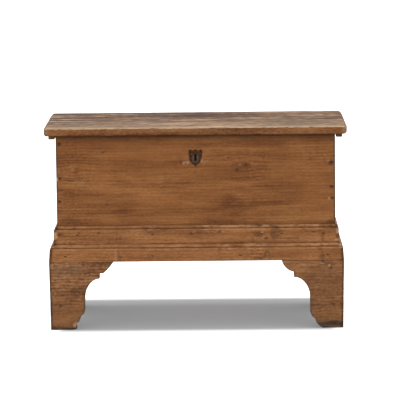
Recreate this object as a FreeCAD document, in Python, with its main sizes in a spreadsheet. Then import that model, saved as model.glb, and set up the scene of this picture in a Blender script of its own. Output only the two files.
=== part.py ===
import FreeCAD, Part
import math
import os
from types import SimpleNamespace

import Sketcher
from FreeCAD import Placement, Rotation, Vector

# A boarded blanket chest on bracket feet, in millimetres.
# X runs along the chest, -Y is the front, +Z is up; the origin is on the floor under the lid's centre.

SIZES = {
    # lid
    "lid_length": 1040,
    "lid_depth": 490,
    "lid_thickness": 26,
    "lid_end_round_top": 8,
    "lid_end_round_bottom": 6,
    "lid_arris": 2.5,
    "lid_back_overhang": 18,
    "batten_width": 22,
    "batten_height": 15,
    "batten_gap": 3,
    "batten_front_setback": 6,
    "batten_back_setback": 12,
    "batten_arris": 5,
    # case
    "case_length": 957,
    "case_depth": 440,
    "panel_height": 311,
    "board_thickness": 22,
    "case_arris": 2.5,
    "cleat_width": 22,
    "cleat_height": 22,
    "plank_thickness": 16,
    "plank_gap": 0.5,
    # waist moulding and base rail
    "waist_height": 65,
    "waist_thickness": 12,
    "waist_bead_height": 9.5,
    "waist_setback": 5,
    "waist_flat": 1,
    "waist_batter": 0.5,
    "rail_height": 60,
    "rail_thickness": 29,
    "rail_bead_height": 12,
    "rail_setback": 7,
    "rail_flat": 13,
    "rail_batter": 3,
    "quirk_height": 2.5,
    "quirk_depth": 1.5,
    "face_easing": 3,
    # bracket feet
    "foot_height": 236,
    "foot_reach": 218,
    "lobe_width": 31,
    "lobe_height": 39,
    "ledge_width": 15,
    "step_height": 18,
    "ankle_width": 115,
    "hollow_height": 76,
    "toe_height": 54,
    "toe_step": 13,
    "toe_flat": 7,
    "sole_width": 82,
    "rear_foot_thickness": 20,
    "rear_foot_reach": 130,
    "rear_foot_sole": 60,
    "rear_foot_straight": 40,
    "rear_foot_lip": 30,
    "block_width": 45,
    "block_lift": 6,
    # strap hinges
    "hinge_spread": 620,
    "strap_thickness": 2.5,
    "strap_root": 34,
    "strap_root_length": 26,
    "strap_neck": 11,
    "strap_reach": 215,
    "finial_radius": 13,
    "eye_radius": 4.5,
    "pin_radius": 2,
    "pin_play": 0.05,
    "pin_head": 1.5,
    "pin_head_radius": 3.6,
    "knuckle_width": 14,
    "knuckle_gap": 0.3,
    "barrel_drop": 0.3,
    "leaf_width": 40,
    "leaf_height": 78,
    "leaf_corner": 9,
    "seat_play": 0.3,
    "strap_nail_first": 48,
    "strap_nail_pitch": 55,
    "leaf_nail_drop": 32,
    "leaf_nail_pitch": 28,
    "leaf_nail_side": 11,
    "rose_head": 8,
    "rose_height": 2,
    "rose_length": 18,
    # clasp nails
    "clasp_long": 9,
    "clasp_short": 3,
    "clasp_depth": 3,
    "nail_shank": 3,
    "nail_tip": 1,
    "corner_nail_length": 48,
    "corner_nail_inset": 11,
    "left_nail_high": 28,
    "left_nail_middle": 148,
    "left_nail_low": 227,
    "right_nail_high": 100,
    "right_nail_middle": 184,
    "right_nail_low": 224,
    "waist_nail_length": 28,
    "waist_nail_rise": 32,
    "waist_nail_a": -473,
    "waist_nail_b": -408,
    "waist_nail_c": -150,
    "waist_nail_d": 225,
    "waist_nail_e": 294,
    "waist_nail_f": 435,
    "waist_side_pitch": 300,
    "rail_nail_length": 46,
    "rail_nail_rise": 20,
    "rail_nail_pitch": 300,
    "rail_side_pitch": 200,
    "foot_nail_length": 60,
    "foot_nail_inset": 10,
    "foot_nail_height": 84,
    "plank_nail_length": 34,
    "cleat_nail_length": 38,
    "cleat_nail_pitch": 350,
    "cleat_side_pitch": 260,
    "batten_nail_length": 34,
    "batten_nail_pitch": 130,
    # escutcheon and keyhole
    "keyhole_fall": 80,
    "keyhole_head": 4.7,
    "keyhole_foot": 4.3,
    "keyhole_web": 5.8,
    "keyhole_drop": 16.5,
    "keyhole_play": 0.4,
    "shield_thickness": 1.5,
    "shield_half": 23.5,
    "shield_top": 29,
    "shield_ear": 17.5,
    "shield_ear_drop": 1,
    "shield_ear_side": 11,
    "ear_round": 10,
    "scoop_round": 10.2,
    "shield_waist_half": 20,
    "shield_waist_drop": 8,
    "shield_flank_round": 42,
    "shield_drop_half": 3,
    "shield_drop_top": 27,
    "shield_tip": 33,
    "tack_radius": 0.8,
    "tack_head": 1.6,
    "tack_head_height": 0.8,
    "tack_length": 8,
    "tack_ear_in": 4.5,
    "tack_ear_down": 7,
    "tack_foot_up": 9,
    # chest lock
    "lock_half": 52,
    "lock_height": 105,
    "lock_plate_thickness": 2,
    "selvedge_width": 18,
    "case_half": 40,
    "case_box_depth": 13,
    "case_box_floor": 98,
    "case_sheet": 1.5,
    "eye_spread": 40,
    "eye_thickness": 3,
    "eye_width": 9,
    "eye_drop": 17.5,
    "eye_hole_width": 5.6,
    "eye_hole_height": 8,
    "eye_hole_drop": 6.5,
    "slot_play": 1,
    "catch_half": 32,
    "catch_width": 14,
    "catch_thickness": 2.5,
    "bolt_thickness": 4.5,
    "bolt_bar": 9,
    "bolt_bar_drop": 32,
    "finger_height": 6,
    "finger_length": 8.5,
    "finger_gap": 1,
    "post_width": 4,
    "bolt_tail_width": 10,
    "bolt_tail_drop": 54,
    "talon_radius": 3,
    "bolt_travel": 8,
    "bolt_play": 0.3,
    "shelf_depth": 4,
    "shelf_length": 16,
    "spring_thickness": 1,
    "spring_width": 6,
    "spring_drop": 46,
    "spring_bend": 60,
    "key_pin_radius": 2,
    "key_pin_recess": 2,
    "screw_radius": 1.8,
    "screw_head": 3.6,
    "screw_length": 14,
    "catch_screw_length": 18,
    "plate_screw_inset": 6,
    "plate_screw_fall": 18,
    "catch_screw_half": 27,
}

PLANKS = 3
LEFT_TURN = 1
RIGHT_TURN = -1

document = FreeCAD.newDocument("blanket_chest")
sheet = document.addObject("Spreadsheet::Sheet", "Sizes")
nodes = []


class Size:
    """A length that carries its number together with the sheet expression that gives it."""

    def __init__(self, number, text):
        self.number = number
        self.text = text

    def __add__(self, other):
        other = as_size(other)
        return Size(self.number + other.number, f"({self.text} + {other.text})")

    def __sub__(self, other):
        other = as_size(other)
        return Size(self.number - other.number, f"({self.text} - {other.text})")

    def __rsub__(self, other):
        return as_size(other) - self

    def __mul__(self, other):
        other = as_size(other)
        return Size(self.number * other.number, f"({self.text} * {other.text})")

    def __truediv__(self, other):
        other = as_size(other)
        return Size(self.number / other.number, f"({self.text} / {other.text})")

    def __neg__(self):
        return Size(-self.number, f"(-{self.text})")

    __radd__ = __add__
    __rmul__ = __mul__


def as_size(value):
    """A plain factor such as 2 as a Size."""
    if isinstance(value, Size):
        return value
    return Size(float(value), f"({float(value)})")


def root(size):
    """The square root of a Size."""
    return Size(math.sqrt(size.number), f"sqrt({size.text})")


def fill_sheet():
    """Write each driving dimension into its own aliased cell and return the sizes by name."""
    for row, (alias, number) in enumerate(SIZES.items(), start=1):
        sheet.set(f"A{row}", str(number))
        sheet.setAlias(f"A{row}", alias)
    document.recompute()
    sizes = {}
    for alias in SIZES:
        sizes[alias] = Size(float(sheet.get(alias)), f"Sizes.{alias}")
    return SimpleNamespace(**sizes)


s = fill_sheet()
ZERO = as_size(0)

# Planes that several pieces share.
soffit = s.foot_height
rail_top = soffit + s.rail_height
waist_top = rail_top + s.waist_height
case_top = waist_top + s.panel_height
lid_top = case_top + s.lid_thickness
half_length = s.case_length / 2
back = s.lid_depth / 2 - s.lid_back_overhang
front = back - s.case_depth
inner_front = front + s.board_thickness
inner_back = back - s.board_thickness
inner_end = half_length - s.board_thickness
base_end = half_length + s.rail_thickness
base_front = front - s.rail_thickness
cleat_top = soffit + s.cleat_height
plank_top = cleat_top + s.plank_thickness
batten_inner = half_length + s.batten_gap
batten_outer = batten_inner + s.batten_width
batten_front = front + s.batten_front_setback
batten_back = back - s.batten_back_setback
hinge_x = s.hinge_spread / 2
axis_y = back - s.strap_thickness + s.eye_radius
axis_z = case_top - s.barrel_drop - s.eye_radius
strap_bottom = case_top - s.strap_thickness
lock_floor = case_top - s.lock_height
lock_face = inner_front - s.lock_plate_thickness
box_front = lock_face - s.case_box_depth
box_floor = case_top - s.case_box_floor
box_roof = case_top - s.lock_plate_thickness
bolt_y = (box_front + s.case_sheet + lock_face) / 2
bar_bottom = case_top - s.bolt_bar_drop
keyhole_z = case_top - s.keyhole_fall
pin_z = keyhole_z + s.keyhole_drop / 2


def moulding_form(thickness, bead_height, setback, flat, batter, low, high):
    """The heights and projections that make up one moulding's section."""
    shoulder = high - bead_height - s.quirk_height
    bead_out = thickness - setback
    return SimpleNamespace(
        low=low,
        high=high,
        thickness=thickness,
        shoulder=shoulder,
        eased=shoulder - s.face_easing,
        face=thickness - batter,
        batter=batter,
        bead_low=high - bead_height,
        bead_out=bead_out,
        bead=bead_out - flat,
        flat=flat,
    )


def face_out(form, height):
    """How far a moulding's battered face stands from the case at a height."""
    return form.thickness - form.batter * ((height - form.low) / (form.eased - form.low))


waist_form = moulding_form(
    s.waist_thickness, s.waist_bead_height, s.waist_setback, s.waist_flat, s.waist_batter, rail_top, waist_top
)
rail_form = moulding_form(
    s.rail_thickness, s.rail_bead_height, s.rail_setback, s.rail_flat, s.rail_batter, soffit, rail_top
)


# Ways of making and placing pieces.

def node(thing, label):
    """Name a finished sub-part; its label names its file."""
    thing.Label = label
    nodes.append(thing)
    return thing


def bind(thing, name, size):
    """Tie a property to the sheet."""
    thing.setExpression(name, size.text)


def place(thing, x, y, z, rotation=Rotation()):
    """Turn a piece and tie its place to the sheet."""
    thing.Placement = Placement(Vector(x.number, y.number, z.number), rotation)
    for axis, size in (("x", x), ("y", y), ("z", z)):
        bind(thing, "Placement.Base." + axis, size)


def block(name, x_span, y_span, z_span):
    """A squared piece of timber or plate between two corners."""
    thing = document.addObject("Part::Box", name)
    sides = (("Length", x_span), ("Width", y_span), ("Height", z_span))
    for side, (low, high) in sides:
        bind(thing, side, high - low)
    place(thing, x_span[0], y_span[0], z_span[0])
    return thing


def rod(name, radius, length, x, y, z, rotation=Rotation()):
    """A round bar that starts at a point."""
    thing = document.addObject("Part::Cylinder", name)
    bind(thing, "Radius", radius)
    bind(thing, "Height", length)
    place(thing, x, y, z, rotation)
    return thing


def group(name, things):
    """Several separate solids in one sub-part."""
    thing = document.addObject("Part::Compound", name)
    thing.Links = things
    return thing


def join(name, things):
    """Fuse the lumps of one piece."""
    thing = document.addObject("Part::MultiFuse", name)
    thing.Shapes = things
    return thing


def cut(name, base, tools):
    """Take each tool in turn out of a piece."""
    for number, tool in enumerate(tools):
        thing = document.addObject("Part::Cut", f"{name}_{number}")
        thing.Base = base
        thing.Tool = tool
        base = thing
    return base


def mirrored(name, source):
    """The same piece for the other end of the chest."""
    thing = document.addObject("Part::Mirroring", name)
    thing.Source = source
    thing.Normal = Vector(1, 0, 0)
    return thing


def pair(right, name):
    """Name a right-hand piece and its left-hand mirror image."""
    node(right, name + "_right")
    node(mirrored(name + "_mirror", right), name + "_left")


def body(name):
    return document.addObject("PartDesign::Body", name)


def sketch(owner, plane, offset=ZERO):
    """A sketch on one of a body's own origin planes, moved along the plane's normal."""
    thing = owner.newObject("Sketcher::SketchObject", owner.Name + "_sketch")
    support = [feature for feature in owner.Origin.OriginFeatures if feature.Role == plane]
    thing.AttachmentSupport = (support[0], [""])
    thing.MapMode = "FlatFace"
    bind(thing, "AttachmentOffset.Base.z", offset)
    return thing


def fix_point(drawing, edge, end, x, y):
    """Hold one end of an edge at a distance from the sketch's origin."""
    for kind, size in (("DistanceX", x), ("DistanceY", y)):
        index = drawing.addConstraint(Sketcher.Constraint(kind, -1, 1, edge, end, size.number))
        bind(drawing, f"Constraints[{index}]", size)


def bow(start, finish, radius, turn):
    """The arc from start to finish, and which of its ends come first and last."""
    middle = (start + finish) * 0.5
    chord = finish - start
    rise = math.sqrt(max(radius ** 2 - (chord.Length / 2) ** 2, 0))
    centre = middle + Vector(-chord.y, chord.x, 0) * (turn * rise / chord.Length)
    angles = [math.atan2(end.y - centre.y, end.x - centre.x) for end in (start, finish)]
    circle = Part.Circle(centre, Vector(0, 0, 1), radius)
    if turn == LEFT_TURN:
        return Part.ArcOfCircle(circle, angles[0], angles[1]), (1, 2)
    return Part.ArcOfCircle(circle, angles[1], angles[0]), (2, 1)


def outline(drawing, corners):
    """A closed loop through corners (x, y) or (x, y, radius, turn), where the side that leaves bends."""
    points = [Vector(corner[0].number, corner[1].number, 0) for corner in corners]
    edges = []
    for corner, start, finish in zip(corners, points, points[1:] + points[:1]):
        ends = (1, 2)
        if len(corner) == 2:
            shape = Part.LineSegment(start, finish)
        else:
            shape, ends = bow(start, finish, corner[2].number, corner[3])
        edges.append((drawing.addGeometry(shape), ends))
    for corner, (edge, ends), (after, after_ends) in zip(corners, edges, edges[1:] + edges[:1]):
        drawing.addConstraint(Sketcher.Constraint("Coincident", edge, ends[1], after, after_ends[0]))
        fix_point(drawing, edge, ends[0], corner[0], corner[1])
        if len(corner) > 2:
            index = drawing.addConstraint(Sketcher.Constraint("Radius", edge, corner[2].number))
            bind(drawing, f"Constraints[{index}]", corner[2])


def ring(drawing, x, y, radius):
    """A circle about a point."""
    circle = Part.Circle(Vector(x.number, y.number, 0), Vector(0, 0, 1), radius.number)
    edge = drawing.addGeometry(circle)
    fix_point(drawing, edge, 3, x, y)
    index = drawing.addConstraint(Sketcher.Constraint("Radius", edge, radius.number))
    bind(drawing, f"Constraints[{index}]", radius)


def pad(drawing, length, symmetric=False):
    """Raise a sketch along its normal."""
    owner = drawing.getParentGeoFeatureGroup()
    feature = owner.newObject("PartDesign::Pad", owner.Name + "_pad")
    feature.Profile = drawing
    feature.SideType = "Symmetric" if symmetric else "One side"
    bind(feature, "Length", length)
    return feature


def pocket(drawing):
    """Cut a sketch right through its body, both ways."""
    owner = drawing.getParentGeoFeatureGroup()
    feature = owner.newObject("PartDesign::Pocket", owner.Name + "_pocket")
    feature.Profile = drawing
    feature.Type = "ThroughAll"
    feature.SideType = "Symmetric"
    return feature


# Forged nails. A nail points down from its own origin, its head's long side along X.

DOWN = Rotation()
UP = Rotation(Vector(1, 0, 0), 180)
INTO_FRONT = Rotation(Vector(1, 0, 0), 90)
INTO_BACK = Rotation(Vector(1, 0, 0), -90)
ALONG_GRAIN = Rotation(Vector(0, 0, 1), 90)
INTO_RIGHT = Rotation(Vector(0, 1, 0), 90).multiply(ALONG_GRAIN)
INTO_LEFT = Rotation(Vector(0, 1, 0), -90).multiply(ALONG_GRAIN)
UP_ALONG_SIDE = UP.multiply(ALONG_GRAIN)


def evenly(count):
    """Steps about the middle for a row of this many."""
    return [number - (count - 1) / 2 for number in range(count)]


def frustum(name, top, bottom, height, low):
    """A square block that tapers downwards from its top, standing on the level low."""
    thing = document.addObject("Part::Wedge", name)
    thing.Placement.Rotation = Rotation(Vector(1, 0, 0), 90)
    bind(thing, "Xmin", -(bottom / 2))
    bind(thing, "Xmax", bottom / 2)
    bind(thing, "Zmin", -(bottom / 2))
    bind(thing, "Zmax", bottom / 2)
    bind(thing, "X2min", -(top / 2))
    bind(thing, "X2max", top / 2)
    bind(thing, "Z2min", -(top / 2))
    bind(thing, "Z2max", top / 2)
    bind(thing, "Ymin", ZERO)
    bind(thing, "Ymax", height)
    bind(thing, "Placement.Base.z", low)
    return thing


def clasp_nail(name, length):
    """A clasp nail, its T-shaped head driven flush."""
    half_long = s.clasp_long / 2
    half_short = s.clasp_short / 2
    head = block(name + "_head", (-half_long, half_long), (-half_short, half_short), (-s.clasp_depth, ZERO))
    shank = frustum(name + "_shank", s.nail_shank, s.nail_tip, length - s.clasp_depth, -length)
    return join(name, [head, shank])


def rose_nail(name, length):
    """A rose-headed nail, its faceted head standing proud."""
    head = frustum(name + "_head", s.nail_shank, s.rose_head, s.rose_height, ZERO)
    shank = frustum(name + "_shank", s.nail_shank, s.nail_tip, length, -length)
    return join(name, [head, shank])


def nails(label, kind, length, spots):
    """A group of like nails, each at its spot (x, y, z, rotation)."""
    made = []
    for number, (x, y, z, rotation) in enumerate(spots):
        nail = kind(f"{label}_{number}", length)
        place(nail, x, y, z, rotation)
        made.append(nail)
    return node(group(label + "_group", made), label)


def corner_nails():
    """Three nails through each end of the front and back boards into the end boards."""
    nail_x = half_length - s.corner_nail_inset
    left_falls = (s.left_nail_high, s.left_nail_middle, s.left_nail_low)
    right_falls = (s.right_nail_high, s.right_nail_middle, s.right_nail_low)
    spots = []
    for x, falls in ((-nail_x, left_falls), (nail_x, right_falls)):
        for fall in falls:
            spots.append((x, front, case_top - fall, INTO_FRONT))
            spots.append((x, back, case_top - fall, INTO_BACK))
    return nails("corner_nails", clasp_nail, s.corner_nail_length, spots)


def waist_moulding_nails():
    """Nails through the waist moulding into the case."""
    height = rail_top + s.waist_nail_rise
    out = face_out(waist_form, height)
    face = front - out
    places = (s.waist_nail_a, s.waist_nail_b, s.waist_nail_c, s.waist_nail_d, s.waist_nail_e, s.waist_nail_f)
    spots = [(x, face, height, INTO_FRONT) for x in places]
    outer = half_length + out
    middle = (front + back) / 2
    for step in evenly(2):
        y = middle + s.waist_side_pitch * step
        spots.append((outer, y, height, INTO_RIGHT))
        spots.append((-outer, y, height, INTO_LEFT))
    return nails("waist_moulding_nails", clasp_nail, s.waist_nail_length, spots)


def base_rail_nails():
    """Nails through the base rail into the case."""
    height = soffit + s.rail_nail_rise
    out = face_out(rail_form, height)
    outer = half_length + out
    spots = []
    for step in evenly(4):
        spots.append((s.rail_nail_pitch * step, front - out, height, INTO_FRONT))
    middle = (front + back) / 2
    for step in evenly(2):
        y = middle + s.rail_side_pitch * step
        spots.append((outer, y, height, INTO_RIGHT))
        spots.append((-outer, y, height, INTO_LEFT))
    return nails("base_rail_nails", clasp_nail, s.rail_nail_length, spots)


def foot_nails():
    """A nail through each foot board into the glue block behind it."""
    across = half_length - s.foot_nail_inset
    front_y = front + s.foot_nail_inset
    back_y = back - s.rear_foot_thickness - s.foot_nail_inset
    low = s.foot_nail_height
    high = s.foot_nail_height + s.block_width
    spots = []
    for side, turn in ((1, INTO_RIGHT), (-1, INTO_LEFT)):
        spots.append((across * side, base_front, low, INTO_FRONT))
        spots.append((base_end * side, front_y, high, turn))
        spots.append((base_end * side, back_y, high, turn))
        spots.append((across * side, back, low, INTO_BACK))
    return nails("foot_nails", clasp_nail, s.foot_nail_length, spots)


def plank_edges():
    """The front and back edge of each bottom plank, and the play between them."""
    run = inner_back - inner_front
    width = (run - s.plank_gap * (PLANKS + 1)) / PLANKS
    spans = []
    for number in range(PLANKS):
        low = inner_front + s.plank_gap + (width + s.plank_gap) * number
        spans.append((low, low + width))
    return spans


def bottom_nails():
    """Two nails through each end of each bottom plank into the end cleats."""
    spots = []
    nail_x = inner_end - s.cleat_width / 2
    for low, high in plank_edges():
        quarter = (high - low) / 4
        for x in (-nail_x, nail_x):
            for y in (low + quarter, high - quarter):
                spots.append((x, y, plank_top, DOWN))
    return nails("bottom_nails", clasp_nail, s.plank_nail_length, spots)


def cleat_nails():
    """Nails through the cleats into the case boards, driven from inside."""
    height = soffit + s.cleat_height / 2
    spots = []
    for step in evenly(3):
        x = s.cleat_nail_pitch * step
        spots.append((x, inner_front + s.cleat_width, height, INTO_BACK))
        spots.append((x, inner_back - s.cleat_width, height, INTO_FRONT))
    middle = (front + back) / 2
    inner = inner_end - s.cleat_width
    for step in evenly(2):
        y = middle + s.cleat_side_pitch * step
        spots.append((inner, y, height, INTO_LEFT))
        spots.append((-inner, y, height, INTO_RIGHT))
    return nails("cleat_nails", clasp_nail, s.cleat_nail_length, spots)


def lid_batten_nails():
    """Nails up through each batten into the lid."""
    nail_x = (batten_inner + batten_outer) / 2
    middle = (batten_front + batten_back) / 2
    spots = []
    for step in evenly(3):
        y = middle + s.batten_nail_pitch * step
        for x in (-nail_x, nail_x):
            spots.append((x, y, case_top - s.batten_height, UP_ALONG_SIDE))
    return nails("lid_batten_nails", clasp_nail, s.batten_nail_length, spots)


def hinge_strap_nails():
    """Rose nails up through each strap into the lid."""
    spots = []
    for x in (-hinge_x, hinge_x):
        for number in range(3):
            y = axis_y - s.strap_nail_first - s.strap_nail_pitch * number
            spots.append((x, y, strap_bottom, UP))
        spots.append((x, axis_y - s.strap_reach, strap_bottom, UP))
    return nails("hinge_strap_nails", rose_nail, s.rose_length, spots)


def hinge_leaf_nails():
    """Rose nails through each leaf into the back board."""
    high = axis_z - s.leaf_nail_drop
    low = high - s.leaf_nail_pitch
    spots = []
    for x in (-hinge_x, hinge_x):
        spots.append((x - s.leaf_nail_side, back, high, INTO_BACK))
        spots.append((x + s.leaf_nail_side, back, high, INTO_BACK))
        spots.append((x, back, low, INTO_BACK))
    return nails("hinge_leaf_nails", rose_nail, s.rose_length, spots)


# Lock, escutcheon and catch.

def keyhole_corners(play):
    """Two round ends joined by a narrower web, walked anticlockwise."""
    head = s.keyhole_head + play
    foot = s.keyhole_foot + play
    half = s.keyhole_web / 2 + play
    low = keyhole_z - s.keyhole_drop / 2
    neck_top = pin_z - root(head * head - half * half)
    neck_bottom = low + root(foot * foot - half * half)
    return [
        (half, neck_bottom),
        (half, neck_top, head, LEFT_TURN),
        (ZERO, pin_z + head, head, LEFT_TURN),
        (-half, neck_top),
        (-half, neck_bottom, foot, LEFT_TURN),
        (ZERO, low - foot, foot, LEFT_TURN),
    ]


def keyhole_cutter():
    """The keyhole as a plug that reaches through the front board and the lock's case."""
    plug = body("keyhole_plug")
    drawing = sketch(plug, "XZ_Plane", -lock_face)
    outline(drawing, keyhole_corners(s.keyhole_play))
    pad(drawing, s.board_thickness)
    return plug


def shield_spots():
    """Where the escutcheon's three tacks go, as (x, z)."""
    ear_x = s.shield_half - s.tack_ear_in
    ear_z = keyhole_z + s.shield_top - s.tack_ear_down
    foot_z = keyhole_z - s.shield_tip + s.tack_foot_up
    return [(ear_x, ear_z), (-ear_x, ear_z), (ZERO, foot_z)]


def escutcheon():
    """An eared shield of sheet iron, scooped along its top and drawn to a point."""
    middle = keyhole_z
    top = middle + s.shield_top
    ear_top = top - s.shield_ear_drop
    ear_low = ear_top - s.shield_ear_side
    waist = middle - s.shield_waist_drop
    drop = middle - s.shield_drop_top
    shield = body("escutcheon_body")
    drawing = sketch(shield, "XZ_Plane", -front)
    outline(drawing, [
        (ZERO, middle - s.shield_tip),
        (s.shield_drop_half, drop, s.shield_flank_round, LEFT_TURN),
        (s.shield_waist_half, waist),
        (s.shield_half, ear_low, s.ear_round, LEFT_TURN),
        (s.shield_ear, ear_top, s.scoop_round, RIGHT_TURN),
        (ZERO, top, s.scoop_round, RIGHT_TURN),
        (-s.shield_ear, ear_top, s.ear_round, LEFT_TURN),
        (-s.shield_half, ear_low),
        (-s.shield_waist_half, waist, s.shield_flank_round, LEFT_TURN),
        (-s.shield_drop_half, drop),
    ])
    outline(drawing, keyhole_corners(ZERO))
    pad(drawing, s.shield_thickness)
    return shield


def tacks():
    """Small round-headed tacks that hold the escutcheon."""
    face = front - s.shield_thickness
    into = Rotation(Vector(1, 0, 0), -90)
    made = []
    for number, (x, z) in enumerate(shield_spots()):
        head_y = face - s.tack_head_height
        head = rod(f"tack_head_{number}", s.tack_head, s.tack_head_height, x, head_y, z, into)
        shank = rod(f"tack_shank_{number}", s.tack_radius, s.tack_length, x, face, z, into)
        made.append(join(f"tack_{number}", [head, shank]))
    return node(group("tacks", made), "escutcheon_pins")


def flat_screw(name, length):
    """A countersunk screw that points down from its flush head."""
    head = document.addObject("Part::Cone", name + "_head")
    bind(head, "Radius1", s.screw_radius)
    bind(head, "Radius2", s.screw_head)
    bind(head, "Height", s.screw_radius)
    bind(head, "Placement.Base.z", -s.screw_radius)
    shank = rod(name + "_shank", s.screw_radius, length - s.screw_radius, ZERO, ZERO, -length)
    return join(name, [head, shank])


def lock_screws():
    """Four screws that hold the lock's plate to the inside of the front board."""
    across = s.lock_half - s.plate_screw_inset
    low = lock_floor + s.plate_screw_inset
    high = case_top - s.plate_screw_fall
    made = []
    for x in (-across, across):
        for z in (low, high):
            screw = flat_screw(f"lock_screw_{len(made)}", s.screw_length)
            place(screw, x, inner_front, z, INTO_BACK)
            made.append(screw)
    return node(group("lock_screw_set", made), "lock_screws")


def catch_screws():
    """Two screws that hold the catch to the lid's underside."""
    made = []
    for x in (-s.catch_screw_half, s.catch_screw_half):
        screw = flat_screw(f"catch_screw_{len(made)}", s.catch_screw_length)
        place(screw, x, bolt_y, case_top, UP)
        made.append(screw)
    return node(group("catch_screw_set", made), "lock_catch_screws")


def lock_plate(screws):
    """The lock's plate, bent over at the top into a selvedge with two slots for the catch's eyes."""
    plate = body("lock_plate_body")
    drawing = sketch(plate, "YZ_Plane")
    selvedge_front = inner_front - s.selvedge_width
    outline(drawing, [
        (lock_face, lock_floor),
        (inner_front, lock_floor),
        (inner_front, case_top),
        (selvedge_front, case_top),
        (selvedge_front, box_roof),
        (lock_face, box_roof),
    ])
    pad(drawing, s.lock_half * 2, symmetric=True)
    slots = sketch(plate, "XY_Plane", case_top)
    half_x = s.eye_thickness / 2 + s.slot_play
    half_y = s.eye_width / 2 + s.slot_play
    for centre in (-(s.eye_spread / 2), s.eye_spread / 2):
        outline(slots, [
            (centre - half_x, bolt_y - half_y),
            (centre + half_x, bolt_y - half_y),
            (centre + half_x, bolt_y + half_y),
            (centre - half_x, bolt_y + half_y),
        ])
    slot_cut = pocket(slots)
    slot_cut.Type = "Length"
    slot_cut.SideType = "One side"
    bind(slot_cut, "Length", s.lock_plate_thickness * 2)
    return node(cut("lock_plate_cut", plate, [screws]), "lock_plate")


def lock_case(keyhole):
    """The sheet box in front of the plate, with two ledges that carry the bolt."""
    half = s.case_half
    sheet_edge = s.case_sheet
    outer = block("lock_box", (-half, half), (box_front, lock_face), (box_floor, box_roof))
    inner = block(
        "lock_box_inside",
        (sheet_edge - half, half - sheet_edge),
        (box_front + sheet_edge, lock_face),
        (box_floor + sheet_edge, box_roof),
    )
    shelf_top = bar_bottom - s.bolt_play
    shell = cut("lock_shell", outer, [inner])
    ledges = []
    for side in (-1, 1):
        inside = (half - sheet_edge) * side
        tip = (half - sheet_edge - s.shelf_length) * side
        span = (inside, tip) if side < 0 else (tip, inside)
        depth = (box_front + sheet_edge, lock_face)
        ledges.append(block(f"lock_ledge_{side + 1}", span, depth, (shelf_top - s.shelf_depth, shelf_top)))
    carried = join("lock_shell_ledges", [shell] + ledges)
    return node(cut("lock_case_cut", carried, [keyhole]), "lock_case")


def bolt_finger(name, eye_x):
    """A post on the bolt's bar with the finger that enters one eye of the catch."""
    finger_tip = eye_x - s.eye_thickness / 2 - s.finger_gap
    finger_root = finger_tip - s.finger_length
    thick = (bolt_y - s.bolt_thickness / 2, bolt_y + s.bolt_thickness / 2)
    eye_middle = case_top - s.eye_hole_drop - s.catch_thickness - s.eye_hole_height / 2
    top = eye_middle + s.finger_height / 2
    bottom = eye_middle - s.finger_height / 2
    finger = block(name + "_finger", (finger_root, finger_tip), thick, (bottom, top))
    post = block(name + "_post", (finger_root - s.post_width, finger_root), thick, (bar_bottom, top))
    return [finger, post]


def lock_bolt():
    """A bar with two upright fingers and a tail whose notch the key turns in."""
    half_eye = s.eye_spread / 2
    fingers = bolt_finger("left", -half_eye) + bolt_finger("right", half_eye)
    thick = (bolt_y - s.bolt_thickness / 2, bolt_y + s.bolt_thickness / 2)
    inside = s.case_half - s.case_sheet - s.bolt_play
    bar_span = (-inside, inside - s.bolt_travel)
    bar = block("bolt_bar_block", bar_span, thick, (bar_bottom, bar_bottom + s.bolt_bar))
    half_tail = s.bolt_tail_width / 2
    tail_foot = case_top - s.bolt_tail_drop
    tail = block("bolt_tail", (-half_tail, half_tail), thick, (tail_foot, bar_bottom + s.bolt_bar))
    whole = join("bolt_whole", [bar, tail] + fingers)
    talon_y = bolt_y - s.bolt_thickness
    turn = Rotation(Vector(1, 0, 0), -90)
    talon = rod("bolt_talon", s.talon_radius, s.bolt_thickness * 2, ZERO, talon_y, tail_foot, turn)
    return node(cut("lock_bolt_cut", whole, [talon]), "lock_bolt")


def lock_spring():
    """A flat spring from the case's end that bears on the bolt's tail."""
    spring = body("lock_spring_body")
    drawing = sketch(spring, "XZ_Plane", -(bolt_y + s.spring_width / 2))
    high = case_top - s.spring_drop
    low = high - s.spring_thickness
    end = s.case_sheet - s.case_half
    tip = -(s.bolt_tail_width / 2) - s.bolt_play
    outline(drawing, [
        (end, low, s.spring_bend, LEFT_TURN),
        (tip, low),
        (tip, high, s.spring_bend + s.spring_thickness, RIGHT_TURN),
        (end, high),
    ])
    pad(drawing, s.spring_width)
    return node(spring, "lock_spring")


def lock_key_pin():
    """The pin that a hollow key turns on."""
    length = lock_face - front - s.key_pin_recess
    into = Rotation(Vector(1, 0, 0), 90)
    pin = rod("key_pin_rod", s.key_pin_radius, length, ZERO, lock_face, pin_z, into)
    return node(pin, "lock_key_pin")


def lock_catch(screws):
    """The plate under the lid with its two hanging eyes."""
    plate_y = (bolt_y - s.catch_width / 2, bolt_y + s.catch_width / 2)
    plate_z = (case_top, case_top + s.catch_thickness)
    pieces = [block("catch_plate", (-s.catch_half, s.catch_half), plate_y, plate_z)]
    holes = []
    half = s.eye_thickness / 2
    hole_top = case_top - s.eye_hole_drop - s.catch_thickness
    for side in (-1, 1):
        centre = s.eye_spread / 2 * side
        span = (centre - half, centre + half)
        width = (bolt_y - s.eye_width / 2, bolt_y + s.eye_width / 2)
        pieces.append(block(f"catch_eye_{side + 1}", span, width, (case_top - s.eye_drop - half, case_top)))
        gap = (bolt_y - s.eye_hole_width / 2, bolt_y + s.eye_hole_width / 2)
        wide = (centre - s.eye_thickness, centre + s.eye_thickness)
        holes.append(block(f"catch_hole_{side + 1}", wide, gap, (hole_top - s.eye_hole_height, hole_top)))
    solid = join("catch_solid", pieces)
    return node(cut("lock_catch_cut", solid, holes + [screws]), "lock_catch")


# Strap hinges: strap under the lid, leaf let into the back board, one pin through both.

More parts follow.
